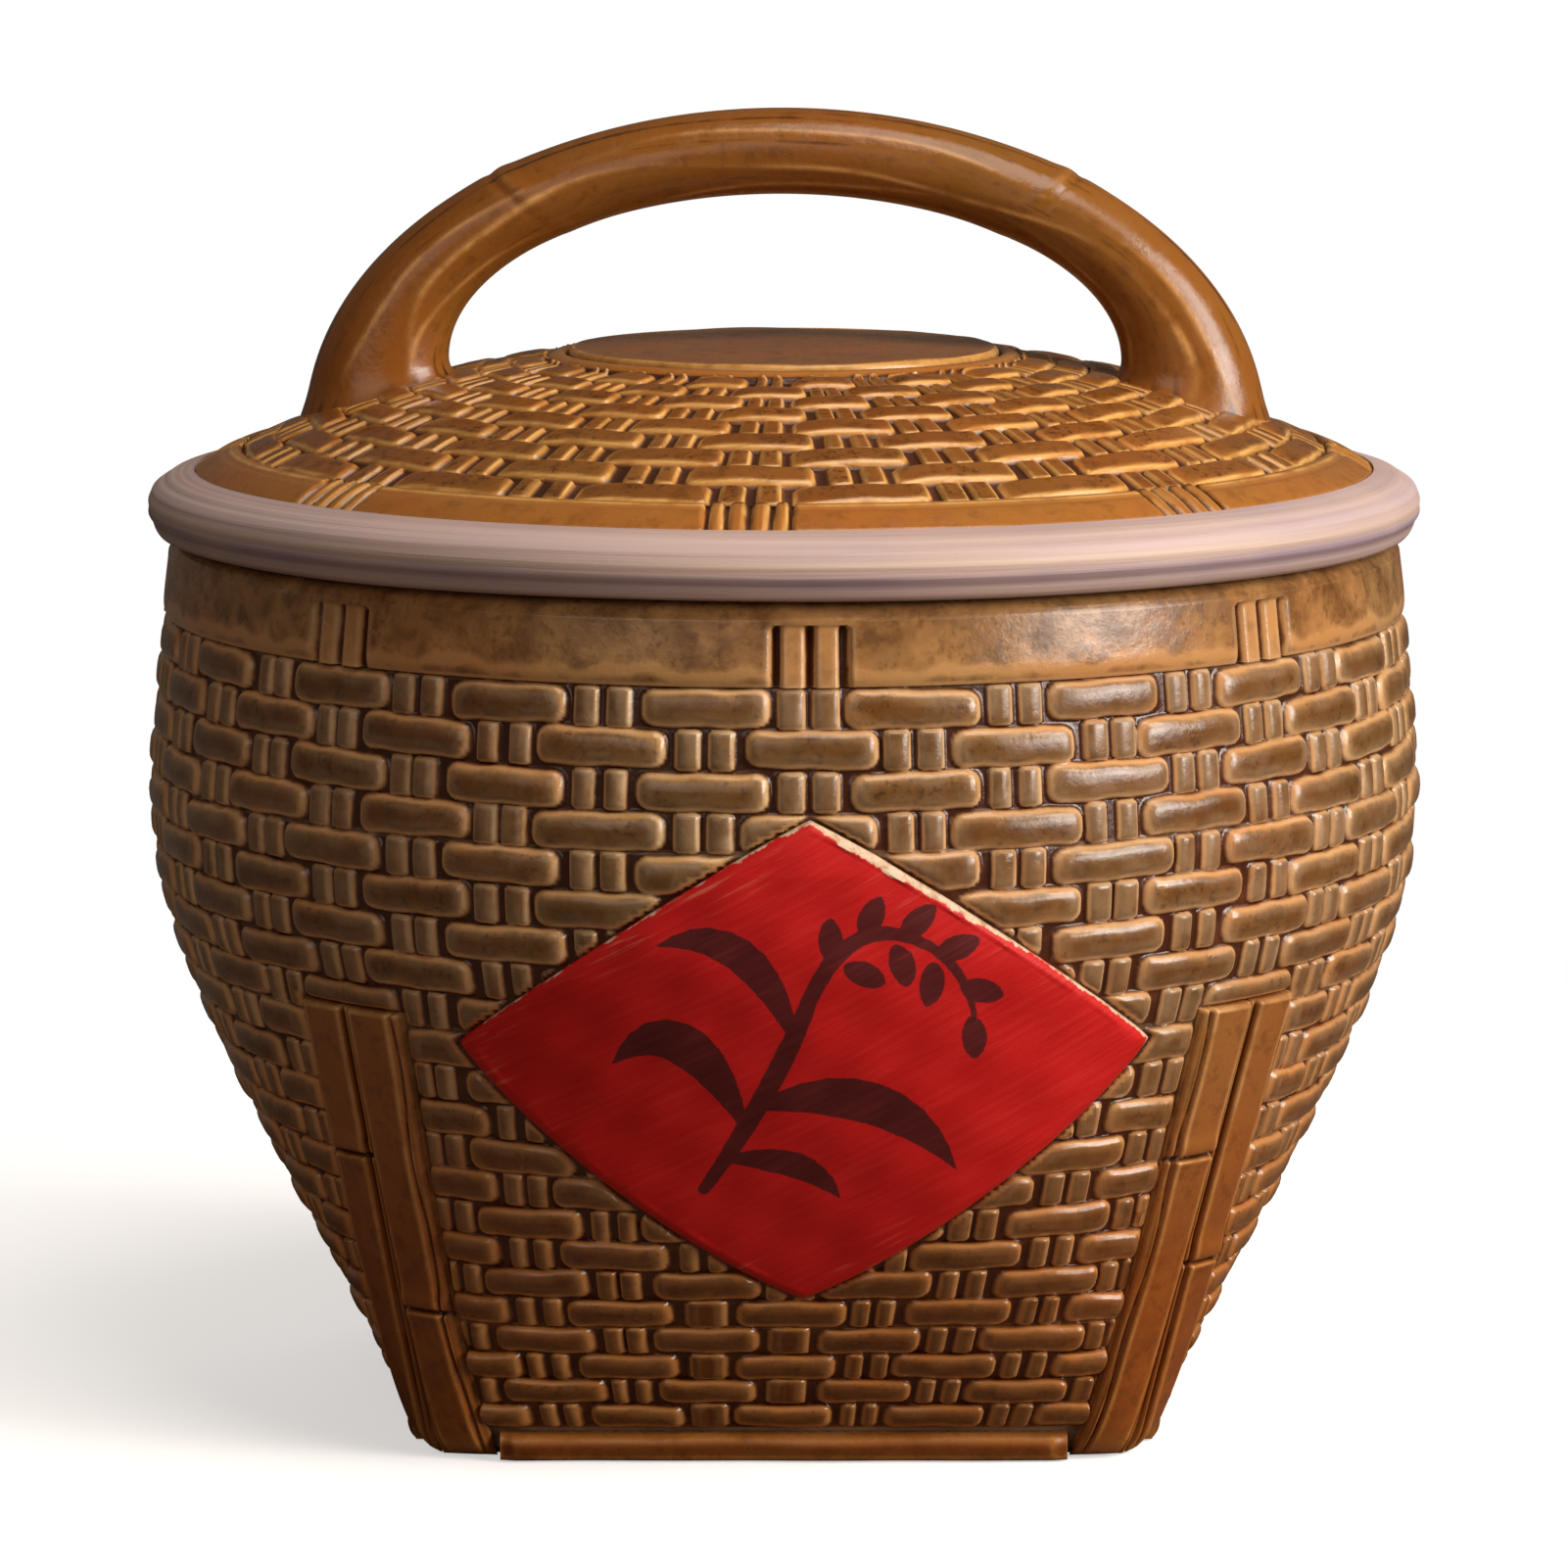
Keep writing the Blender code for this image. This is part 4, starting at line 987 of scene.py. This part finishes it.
def add_rail(face, quarter):
    """A bar along the foot of a face, with a sloping ledge on top and a darker front."""
    back = half_width(RAIL_TOP).item() - WEAVE_DEPTH - FOOT_INSET + CLEARANCE
    front = half_width(RAIL_TOP).item() + RAIL_PROUD - 0.0001
    ends = np.array([TRIM_LIFT, RAIL_TOP])
    half = skin(ends, strip_inner_angle(ends), -WEAVE_DEPTH)[:, 1].min() - 2 * CLEARANCE
    out, up = (np.array(part)[:, None] for part in zip(*RAIL_SECTION))
    along = np.concatenate([[-1, -1], np.linspace(-0.996, 0.996, 160), [1, 1]])[None, :]
    x = along * half * np.ones_like(out)
    wave = 1 + 0.05 * np.sin(x * 190 + quarter) + 0.04 * np.sin(x * 73 + 1) - 0.05
    tall = TRIM_LIFT + (RAIL_TOP - TRIM_LIFT) * up * (1 - 0.03 * (1 + np.sin(x * 120)) * (out > 0.3))
    ends_in = 0.70 + 0.30 * ease((1 - np.abs(along)) / 0.06)
    y = -(back + (front - back) * np.clip(out * wave * ends_in, 0, 1))
    place = np.stack([x, y, tall], -1)
    # Each end closes in its own middle.
    for end, beside, at in ((0, 1, -half), (-1, -2, half)):
        place[:, end] = place[:-1, beside].mean(0)
        place[:, end, 0] = at
    place = turned(place, quarter * math.pi / 2 + FOOT_TWIST * (1 - RAIL_TOP / 2 / ROUND_Z))
    relief = 0.30 + 0.46 * ease((up - 0.55) / 0.25) - 0.1 * ease((0.3 - up) / 0.3)
    relief = (relief * ease((out + 0.05) / 0.5)) * np.ones_like(x)
    pale_line_and_highlight = 0.7 * bell(up - 0.80, 0.10) * (out > 0.3) * np.ones_like(x)
    marks = {"relief": relief, "tone": relief * 0, "pale_line_and_highlight": pale_line_and_highlight}
    piece = wrapped_grid("bamboo_foot_rail_" + face, place, marks)
    settle(piece, "jar", trim_glaze, ["foot_rail_" + face])


for quarter, face in enumerate(("front", "right", "back", "left")):
    add_rail(face, quarter)


def stroke(x, z, points, widths):
    """Signed distance in millimetres to a brush stroke along the points: above 0 is inside."""
    best = np.full_like(x, -99.0)
    for (ax, az), (bx, bz), wide_a, wide_b in zip(points, points[1:], widths, widths[1:]):
        span = (bx - ax) ** 2 + (bz - az) ** 2
        share = np.clip(((x - ax) * (bx - ax) + (z - az) * (bz - az)) / span, 0, 1)
        far = np.hypot(x - ax - share * (bx - ax), z - az - share * (bz - az))
        best = np.maximum(best, wide_a + (wide_b - wide_a) * share - far)
    return best


def curve(start, bend, end, steps=10):
    """Points along a curve that leaves the start towards the bend and ends at the end."""
    shares = [step / steps for step in range(steps + 1)]
    return [
        tuple((1 - t) ** 2 * a + 2 * t * (1 - t) * b + t * t * c for a, b, c in zip(start, bend, end))
        for t in shares
    ]


def taper(first, middle, last, steps=10):
    """Half widths along a stroke."""
    return [
        (1 - t) ** 2 * first + 2 * t * (1 - t) * (2 * middle - (first + last) / 2) + t * t * last
        for t in (step / steps for step in range(steps + 1))
    ]


# Each stroke's start, bend and end, and its half width at the three, in millimetres.
STEM = (
    ((-21, -31), (-7, -8), (0, 12), 1.3, 2.2, 1.7),
    ((0, 12), (8, 32), (24, 23), 1.7, 1.7, 1.1),
    ((24, 23), (33, 17), (34, 5), 1.1, 1.0, 0.5),
)
LEAVES = (
    ((-13, -16), (-26, 14), (-40, -3), 0.9, 4.6, 0.2),
    ((-11, -12), (16, -3), (31, -27), 0.9, 4.8, 0.2),
    ((-3, 3), (-12, 30), (-31, 23), 0.8, 3.6, 0.2),
    ((-17, -24), (0, -22), (7, -33), 0.7, 3.0, 0.2),
)
# Where each grain starts, in millimetres, and the way it points, in degrees.
GRAINS = (
    (5, 20, 96), (7, 19, -25), (11, 25, 68), (17, 23, -72), (19, 25, 44), (25, 19, -98), (26, 21, 18),
    (31, 14, -16), (33, 7, -84),
)


def sprig_ink(x, z):
    """The painted sprig: a bowed stem, leaves and an ear of grains. Lengths are in millimetres."""
    ink = np.full_like(x, -99.0)
    for start, bend, end, first, middle, last in STEM + LEAVES:
        ink = np.maximum(ink, stroke(x, z, curve(start, bend, end), taper(first, middle, last)))
    for at_x, at_z, turn in GRAINS:
        lean = math.radians(turn)
        tip = (at_x + 9.0 * math.cos(lean), at_z + 9.0 * math.sin(lean))
        bend = (at_x + 4.0 * math.cos(lean) - 0.9 * math.sin(lean), at_z + 4.0 * math.sin(lean))
        ink = np.maximum(ink, stroke(x, z, curve((at_x, at_z), bend, tip, 8), taper(0.4, 2.7, 0.2, 8)))
    return ink


# Where the paint is worn off the plaque's edge: the direction in degrees and the width in millimetres.
WORN = (
    (0, 0.2), (4, 0.35), (20, 0.15), (45, 0.8), (60, 1.3), (84, 1.2), (92, 0.5), (98, 0.0), (130, -0.1),
    (172, -0.1), (182, -0.6), (352, -0.6), (360, 0.2),
)


def add_plaque():
    """The raised red diamond, with a rounded edge, worn paint and the painted sprig."""
    around, flat_steps, back_steps = 640, 132, 5
    shares = [np.linspace(0, 0.94, flat_steps), [0.952, 0.963, 0.973, 0.982, 0.990, 0.996, 1.0, 1.0]]
    drop = [np.zeros(flat_steps), [0.04, 0.14, 0.30, 0.52, 0.80, 1.1, 1.5, 3.3]]
    shares, drop = (np.concatenate(part)[:, None] for part in (shares, drop))
    back_shares = np.linspace(1, 0, back_steps)[:, None]
    turn = np.linspace(0, 2 * math.pi, around + 1)
    edge_x, edge_z = plaque_outline(turn)
    x, z = shares * edge_x, shares * edge_z
    back_x, back_z = back_shares * edge_x, back_shares * edge_z
    face = -WEAVE_DEPTH + PLAQUE_THICK
    ripple = 0.00012 * np.sin(x * 210 + z * 340) + 0.00010 * np.sin(x * 470 - z * 150 + 2) - 0.00024
    front = front_skin(x, PLAQUE_Z + z, face - drop * MM + ripple * (drop < 0.1))
    place = np.concatenate([front, front_skin(back_x, PLAQUE_Z + back_z, -WEAVE_DEPTH)])
    margin = np.hypot(edge_x, edge_z) * (1 - shares) / MM * 0.8
    bare = np.interp(np.degrees(turn), *zip(*WORN))
    waver = 0.13 * np.sin(turn * 11) + 0.10 * np.sin(turn * 27 + 1) + 0.06 * np.sin(turn * 53 + 2)
    margin = margin - (bare + waver * (turn < math.pi))
    margin = np.concatenate([margin, np.full(back_x.shape, -1.0)])
    ink = np.clip(sprig_ink(x / MM, z / MM - 1.0), -3, 3)
    ink = np.concatenate([ink, np.full(back_x.shape, -3.0)])
    piece = wrapped_grid("painted_diamond_plaque", place, {"ink": ink, "margin": margin})
    settle(piece, "jar", plaque_paint, ["plaque"], crease=50.0)


add_plaque()


def turned_ring(name, profile, steps):
    """A piece turned on the wheel: a profile spun round the axis and welded."""
    deselect_all()
    bpy.ops.mesh.primitive_grid_add(x_subdivisions=1, y_subdivisions=len(profile) - 1, size=1.0)
    piece = bpy.context.object
    piece.name = name
    mesh = piece.data
    bpy.ops.object.mode_set(mode="EDIT")
    bpy.ops.mesh.select_all(action="DESELECT")
    bpy.ops.object.mode_set(mode="OBJECT")
    for vertex in mesh.vertices:
        vertex.select = vertex.co.x > 0
    bpy.ops.object.mode_set(mode="EDIT")
    bpy.ops.mesh.select_mode(type="VERT")
    bpy.ops.mesh.delete(type="VERT")
    bpy.ops.object.mode_set(mode="OBJECT")
    order = sorted(range(len(mesh.vertices)), key=lambda index: mesh.vertices[index].co.y)
    for index, (reach, z) in zip(order, profile):
        mesh.vertices[index].co = (reach, 0.0, z)
    bpy.ops.object.mode_set(mode="EDIT")
    bpy.ops.mesh.select_all(action="SELECT")
    bpy.ops.mesh.spin(steps=steps, angle=2 * math.pi, center=(0, 0, 0), axis=(0, 0, 1))
    weld()
    return piece


def even_line(corners, step, rounds):
    """Points along a line of corners, at most a step apart, with the corners rounded."""
    corners = np.array(corners, float)
    line = [corners[0]]
    for a, b in zip(corners, corners[1:]):
        count = max(1, int(math.ceil(np.linalg.norm(b - a) / step)))
        line += [a + (b - a) * n / count for n in range(1, count + 1)]
    line = np.array(line)
    for _ in range(rounds):
        line[1:-1] = line[1:-1] * 0.5 + (line[:-2] + line[2:]) * 0.25
    return line


def add_lip():
    """The bare clay lip, with throwing lines, a ridge, a groove under it and a rolled bead."""
    border = BORDER_RADIUS + CLEARANCE
    corners = [
        (border, BORDER_Z),
        (0.1345, 0.2035),
        (0.1378, 0.2014),
        (0.1388, 0.1996),
        (LIP_RIDGE, 0.1976),
        (0.1390, 0.1958),
        (0.1381, 0.1942),
        (0.1377, 0.1931),
        (0.1375, 0.1921),
        (0.1366, 0.1914),
        (LIP_RADIUS, LID_LIP_Z),
    ]
    outer = even_line(corners, 0.0005, 2)
    lines = 0.00010 * np.sin(outer[:, 1] / 0.00042) + 0.00007 * np.sin(outer[:, 0] / 0.00031 + 1)
    number = np.arange(len(outer))
    ends = np.clip(np.minimum(number, number[::-1]) / 3, 0, 1)
    outer[:, 0] += lines * ends - 0.0001 * ends
    inner = DOME_RADIUS - CLEARANCE - DOME_REST
    under = [(inner + 0.012, LID_LIP_Z), (inner, LID_LIP_Z), (inner, SEAT_Z), (0.1200, SEAT_Z)]
    under += [(border, SEAT_Z), (border, BORDER_Z)]
    piece = turned_ring("bare_clay_lip", [*map(tuple, outer), *under], 720)
    points = read_points(piece.data)
    angle = np.arctan2(points[:, 1], points[:, 0])
    outside = np.clip((np.hypot(points[:, 0], points[:, 1]) - BORDER_RADIUS) / 0.008, 0, 1)
    wobble = 0.00016 * np.sin(angle * 3 + 0.6) + 0.00010 * np.sin(angle * 7 + 2)
    points[:, 2] += wobble * outside
    write_points(piece.data, points)
    settle(piece, "lid", lip_clay, ["lid_lip"], crease=60.0)


add_lip()


# The ribs in each window of the border: the middle and half the width of each, in millimetres.
LID_RIBS = ((-6.6, 1.5), (-2.3, 1.75), (2.3, 1.75), (6.6, 1.5))


def add_border():
    """The lid's glazed border, with windows that show the stakes across it."""
    window_deep = 1.5
    inner, outer = DOME_RADIUS, BORDER_RADIUS
    top = np.linspace(0, 1, 19)
    reach = [inner + (outer - inner) * (0.02 + 0.96 * share) for share in top]
    # Distance from the axis, height, and the share of the way across: 2 is off the face.
    profile = [(r, dome_height(r) + 0.0005 * math.sin(math.pi * s), s) for r, s in zip(reach, top)]
    profile.append((outer, dome_height(outer) - 0.0002, 1.0))
    profile += [(outer, dome_height(outer) - 0.0012, 2.0), (outer, SEAT_Z + CLEARANCE, 2.0)]
    profile += [(inner, SEAT_Z + CLEARANCE, 2.0), (inner, dome_height(inner) - 0.0012, 2.0)]
    profile += [(inner, dome_height(inner) - 0.0003, 0.0), profile[0]]
    reach, z, across, angle = spun(profile)
    x = from_nearest(angle, BINDING_COUNT) * reach / MM
    face = across < 1.5
    inside = ease((LID_BINDING_WIDTH / 2 / MM + 0.4 - np.abs(x)) / 0.7)
    ribs = np.zeros_like(x)
    pale_line_and_highlight = np.zeros_like(x)
    for middle, half in LID_RIBS:
        ribs = np.maximum(ribs, rounded_bar(x - middle, across * 0, half, 9.0, 0.1, 0.8))
        # A pale line down each edge of a rib, stronger and wider on its right edge: thin glaze, and a painted
        # highlight on the side towards the light.
        pale_line_and_highlight = np.maximum(pale_line_and_highlight, bell(x - middle - 0.75 * half, 0.38))
        pale_line_and_highlight = np.maximum(pale_line_and_highlight, 0.6 * bell(x - middle + 0.8 * half, 0.28))
    depth = inside * (1 - ribs * 0.85) * window_deep * MM * face
    inner_line = 0.6 * MM * bell(across, 0.07) * face * (1 - inside)
    crease = 0.25 * MM * bell(across - 0.36, 0.05) * face * (1 - inside)
    place = turned(placed(reach, angle, z - depth - inner_line - crease - 0.0001), LID_TURN)
    relief = np.where(face, 0.66 - 0.6 * depth / (window_deep * MM), 0.3)
    relief = relief - 0.5 * bell(across, 0.09) * face - 600 * crease
    pale_line_and_highlight = pale_line_and_highlight * inside * face + 0.8 * bell(across - 0.22, 0.05) * face * (1 - inside)
    marks = {"relief": relief, "tone": relief * 0, "pale_line_and_highlight": pale_line_and_highlight}
    piece = wrapped_grid("lid_border_with_windows", place, marks)
    nodes = ["lid_border"] + [f"lid_binding_{n + 1}" for n in range(BINDING_COUNT)]
    settle(piece, "lid", lid_glaze, nodes)


add_border()


# The plain ring inside the woven dome: how far in it lies, its drop in millimetres and its relief.
DOME_RING = ((0.0006, 0.9, 0.3), (0.0016, 0.3, 0.6), (0.0032, 0.1, 0.7))
DOME_RING_END = ((0.0012, 0.3, 0.6), (0.0004, 0.9, 0.2), (0.0, 1.8, 0.0))


def add_dome_course(name, first_row, last_row):
    """Some rows of the lid's woven skin over a plain lining; the last course ends in a plain ring."""
    outer = DOME_RADIUS - CLEARANCE
    inner = CROWN_RADIUS + CLEARANCE
    woven = inner + CROWN_PLAIN
    columns, rows = weave_grid(DOME_COLUMNS, DOME_STEPS, first_row, last_row)
    column, row = np.meshgrid(columns, rows)
    reach = outer + (woven - outer) * row / DOME_ROWS
    wide = 2 * math.pi * reach / DOME_COLUMNS / MM
    tall = np.full_like(wide, (outer - woven) / DOME_ROWS / MM)
    height, relief, tone, line = weave_height(column, row, wide, tall, DOME_COLUMNS, DOME_ROWS, LID_WEAVE)
    raised = ease((row - DOME_ROWS + 0.12) / 0.12) * 1.2 * MM
    z = dome_height(reach) - LID_WEAVE_SINK + LID_WEAVE_RELIEF * height + raised
    ring = []
    lining_from = reach[-1, 0]
    if last_row == DOME_ROWS:
        ring = [(woven - inwards, drop, shade) for inwards, drop, shade in DOME_RING]
        ring += [(inner + outwards, drop, shade) for outwards, drop, shade in DOME_RING_END]
        lining_from = inner
    ring_reach, ring_drop, ring_relief = np.array(ring).reshape(-1, 3).T
    # The lining, from the crown down to where the dome rests on the lip.
    rest = SEAT_Z + CLEARANCE
    rest_reach = outer - DOME_REST
    crest = dome_height(inner) - DOME_THICK
    lining_reach = np.linspace(lining_from, min(rest_reach, reach[0, 0]), 8)
    lining_z = rest + (crest - rest) * (1 - ((lining_reach - inner) / (rest_reach - inner)) ** 2)
    if first_row == 0:
        lining_reach = np.append(lining_reach, outer)
        lining_z = np.append(lining_z, rest)
    under_reach = np.concatenate([ring_reach, lining_reach])[:, None]
    under_z = np.concatenate([dome_height(ring_reach) - ring_drop * MM, lining_z])[:, None]
    under_relief = np.concatenate([ring_relief, np.full(len(lining_z), 0.55)])[:, None]
    plain = np.zeros((len(under_z), len(columns)))
    all_reach = np.concatenate([reach, under_reach + plain, reach[:1]])
    all_z = np.concatenate([z, under_z + plain, z[:1]])
    angle = FRONT + 2 * math.pi * columns / DOME_COLUMNS + LID_TURN
    marks = {
        "relief": np.concatenate([relief, under_relief + plain, relief[:1]]),
        "tone": np.concatenate([tone, plain, tone[:1]]),
        "pale_line_and_highlight": np.concatenate([line, plain, line[:1]]),
    }
    piece = wrapped_grid(name, placed(all_reach, angle, all_z), marks)
    settle(piece, "lid", lid_glaze, ["lid_dome"])


add_dome_course("woven_lid_dome_outer", 0, 4)
add_dome_course("woven_lid_dome_inner", 4, DOME_ROWS)


def add_crown():
    """The plain disc at the lid's middle, a little uneven as pressed clay is."""
    edge_round = 0.0016
    flat = CROWN_RADIUS - edge_round
    edge_z = dome_height(CROWN_RADIUS) + CROWN_LIFT
    shares = [step / 24 for step in range(25)]
    profile = [(flat * share, edge_z + CROWN_ARCH * (1 - share**2)) for share in shares]
    for step in range(1, 7):
        turn = math.pi / 2 * step / 6
        profile.append((flat + edge_round * math.sin(turn), edge_z - edge_round * (1 - math.cos(turn))))
    under_z = edge_z - CROWN_LIFT - DOME_THICK
    profile += [(CROWN_RADIUS, edge_z - 0.004), (CROWN_RADIUS, under_z), (0.024, under_z), (0.0, under_z)]
    piece = turned_ring("lid_crown_disc", profile, 240)
    points = read_points(piece.data)
    x, y = points[:, 0], points[:, 1]
    wave = 0.00016 * np.sin(x * 150 + y * 60) + 0.00012 * np.sin(y * 260 - x * 90 + 1)
    points[:, 2] += np.where(points[:, 2] > edge_z - 0.0002, wave - 0.0002, 0)
    write_points(piece.data, points)
    relief = np.where(points[:, 2] > edge_z - 0.001, 0.72, 0.3)
    pale_line_and_highlight = bell(np.hypot(x, y) - CROWN_RADIUS + 0.0006, 0.0007)
    add_marks(piece.data, {"relief": relief, "tone": relief * 0, "pale_line_and_highlight": pale_line_and_highlight})
    settle(piece, "lid", crown_glaze, ["lid_crown"], crease=50.0)


add_crown()


# The pale lines along the handle: the direction round it, the sway, the phase and the strength of each.
HANDLE_LINES = (
    (-1.75, 0.22, 0.4, 1.0),
    (-1.15, 0.16, 2.1, 0.7),
    (-2.35, 0.20, 4.0, 0.6),
    (1.6, 0.2, 1.0, 0.8),
)


def add_handle():
    """The bamboo handle: an arch with two nodes, faint ridges along it and luted feet."""
    around, along = 120, 320
    inner_reach = HANDLE_REACH - HANDLE_FOOT
    outer_rise = HANDLE_TOP - HANDLE_OUTER_Z
    inner_rise = HANDLE_TOP - HANDLE_THICK - HANDLE_INNER_Z
    sunk = 0.003
    outer_start = math.asin((dome_height(HANDLE_REACH) - sunk - HANDLE_OUTER_Z) / outer_rise)
    inner_start = math.asin((dome_height(inner_reach) - sunk - HANDLE_INNER_Z) / inner_rise)
    share = np.linspace(0, 1, along + 1)[:, None]
    turn = np.linspace(0, 2 * math.pi, around + 1)[None, :]
    outer_turn = outer_start + (math.pi - 2 * outer_start) * share
    inner_turn = inner_start + (math.pi - 2 * inner_start) * share
    outer_x, outer_z = HANDLE_REACH * np.cos(outer_turn), HANDLE_OUTER_Z + outer_rise * np.sin(outer_turn)
    inner_x, inner_z = inner_reach * np.cos(inner_turn), HANDLE_INNER_Z + inner_rise * np.sin(inner_turn)
    middle_x, middle_z = (outer_x + inner_x) / 2, (outer_z + inner_z) / 2
    across_x, across_z = (outer_x - inner_x) / 2, (outer_z - inner_z) / 2
    flare = np.abs(2 * share - 1) ** 4
    depth = (HANDLE_DEPTH + (HANDLE_FOOT_DEPTH - HANDLE_DEPTH) * flare) / 2
    swell = np.ones_like(share)
    dark = np.zeros_like(share)
    for at, way in ((HANDLE_NODE_AT, 1), (1 - HANDLE_NODE_AT, -1)):
        near = (share - at) * way
        outside = 0.15 + 0.85 * ease(0.4 + 0.7 * np.cos(turn))
        swell = swell + 0.030 * bell(near, 0.007) * outside
        swell = swell - 0.026 * bell(near + 0.011, 0.0035) * outside
        swell = swell + 0.02 * bell(near, 0.03)
        dark = dark + 0.30 * bell(near + 0.011, 0.003) * outside
    ridges = 0.006 * np.sin(turn * 6 + 1.2 * np.sin(share * 9)) + 0.004 * np.sin(turn * 11 + 2 + share * 3)
    ridges = ridges * (1 - flare)
    pale_line_and_highlight = np.zeros_like(ridges)
    for at, sway, phase, strength in HANDLE_LINES:
        path = at + sway * np.sin(share * 11 + phase) + 0.06 * np.sin(share * 31 + phase)
        off = (turn - path + math.pi) % (2 * math.pi) - math.pi
        line = bell(off, 0.055) * strength * ease((0.5 - np.abs(share - 0.5)) / 0.08)
        broken = ease(0.75 + 0.6 * np.sin(share * 17 + phase * 3))
        pale_line_and_highlight = pale_line_and_highlight + line * broken
        ridges = ridges + 0.012 * line
    luting = 0.10 * bell(np.minimum(share, 1 - share), 0.022)
    swell = swell + ridges + luting - 0.012
    full = np.sign(np.cos(turn)) * np.abs(np.cos(turn)) ** 0.92
    x = middle_x + across_x * full * swell
    z = middle_z + across_z * full * swell
    y = depth * np.sin(turn) * swell
    place = np.stack([x, y * np.ones_like(x), z], -1)
    place[0] = place[0].mean(0)
    place[-1] = place[-1].mean(0)
    place = turned(place, LID_TURN)
    streaks = np.zeros_like(ridges)
    for number in range(1, 11):
        drift = 0.8 * math.sin(number * 2.3) * np.sin(share * (5 + 2 * number) + number)
        streaks = streaks + np.sin(turn * (5 + 3 * number) + 4 * drift + number * 1.7) / 10
    relief = 0.70 - 0.4 * dark - 0.7 * np.clip(streaks, 0, 1)
    relief = relief - 0.35 * bell(np.minimum(share, 1 - share), 0.03)
    outer_rim = ease((np.cos(turn) - 0.55) / 0.35)
    relief = relief - 0.24 * outer_rim * (1 - flare)
    piece = wrapped_grid("bamboo_handle", place, {"relief": relief, "tone": relief * 0, "pale_line_and_highlight": pale_line_and_highlight})
    settle(piece, "lid", handle_glaze, ["lid_handle"])


add_handle()

# The floor slab and the flange are the CAD model's own solids.
for node, clay in (("jar_floor", base_clay), ("lid_flange", lip_clay)):
    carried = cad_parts[node]
    carried.data.materials.clear()
    carried.data.materials.append(clay)


def add_floor():
    """A pale floor that fades out into the white round it, so that only its shadow shows."""
    deselect_all()
    bpy.ops.mesh.primitive_circle_add(vertices=96, radius=2.2, fill_type="NGON")
    floor = bpy.context.object
    floor.name = "studio_floor"
    made = Finish("pale floor")
    path = made.add("LightPath").outputs
    seen = made.maths("MAXIMUM", path["Is Camera Ray"], path["Is Transmission Ray"])
    made.join("Base Color", made.mixed(seen, (0.16, 0.11, 0.08, 1.0), (0.90, 0.89, 0.88, 1.0)))
    made.shader.inputs["Emission Color"].default_value = (1.0, 0.99, 0.98, 1.0)
    made.join("Emission Strength", made.times(seen, 0.54))
    made.shader.inputs["Roughness"].default_value = 0.9
    made.shader.inputs["Specular IOR Level"].default_value = 0.1
    reach = made.add("VectorMath", {"operation": "LENGTH"}, {0: made.place}).outputs["Value"]
    made.join("Alpha", made.ranged(reach, 0.14, 0.60, 1.0, 0.0))
    floor.data.materials.append(made.material)


def add_lamp(name, place, target, size, power, colour, mirrored=True):
    """A softbox that points at its target; mirrored is whether the glaze reflects it."""
    lamp = bpy.data.lights.new(name, "AREA")
    lamp.shape = "RECTANGLE"
    lamp.size, lamp.size_y = size
    lamp.energy = power
    lamp.color = colour
    holder = bpy.data.objects.new(name, lamp)
    bpy.context.scene.collection.objects.link(holder)
    holder.visible_glossy = mirrored
    holder.location = place
    holder.rotation_euler = (Vector(target) - Vector(place)).to_track_quat("-Z", "Y").to_euler()


def add_world():
    """White where it is seen, dim and warm where it only lights the jar."""
    world = bpy.data.worlds.new("studio")
    world.use_nodes = True
    bpy.context.scene.world = world
    tree = world.node_tree
    tree.nodes.clear()
    path = tree.nodes.new("ShaderNodeLightPath")
    seen = tree.nodes.new("ShaderNodeMath")
    seen.operation = "MAXIMUM"
    tree.links.new(path.outputs["Is Camera Ray"], seen.inputs[0])
    tree.links.new(path.outputs["Is Transmission Ray"], seen.inputs[1])
    mix = tree.nodes.new("ShaderNodeMixShader")
    tree.links.new(seen.outputs[0], mix.inputs["Fac"])
    for slot, colour, strength in ((1, (1.0, 0.82, 0.66, 1.0), 0.10), (2, (1.0, 1.0, 1.0, 1.0), 1.0)):
        light = tree.nodes.new("ShaderNodeBackground")
        light.inputs["Color"].default_value = colour
        light.inputs["Strength"].default_value = strength
        tree.links.new(light.outputs[0], mix.inputs[slot])
    output = tree.nodes.new("ShaderNodeOutputWorld")
    tree.links.new(mix.outputs[0], output.inputs["Surface"])


def add_camera():
    """The camera at the photograph's viewpoint: a little to the jar's left and above it."""
    camera = bpy.data.cameras.new("camera")
    camera.sensor_width = 36.0
    camera.lens = 168.6
    holder = bpy.data.objects.new("camera", camera)
    bpy.context.scene.collection.objects.link(holder)
    target = Vector((0.0, 0.0, 0.134))
    pitch, turn, far = math.radians(8.5), math.radians(2.2), 1.62
    way = Vector((-math.sin(turn) * math.cos(pitch), -math.cos(turn) * math.cos(pitch), math.sin(pitch)))
    holder.location = target + way * far
    holder.rotation_euler = (-way).to_track_quat("-Z", "Y").to_euler()
    bpy.context.scene.camera = holder


add_floor()
add_lamp("key", (1.50, -0.80, 1.00), (0.0, 0.0, 0.15), (0.85, 1.25), 33.5, (1.0, 0.94, 0.87))
add_lamp("sheen", (1.30, -1.00, 0.45), (0.0, 0.0, 0.12), (0.80, 0.50), 10.0, (1.0, 0.94, 0.88))
add_lamp("top", (0.35, -0.55, 1.75), (0.0, 0.0, 0.20), (1.0, 1.0), 14.0, (1.0, 0.92, 0.82))
add_lamp("fill", (-0.70, -1.60, 0.90), (0.0, 0.0, 0.14), (1.2, 1.0), 4.2, (1.0, 0.90, 0.82))
add_lamp("behind", (0.50, 1.70, 0.75), (0.0, 0.0, 0.12), (1.4, 1.0), 8.0, (1.0, 0.92, 0.84), mirrored=False)
add_world()
add_camera()
bpy.context.scene.view_settings.view_transform = "Standard"
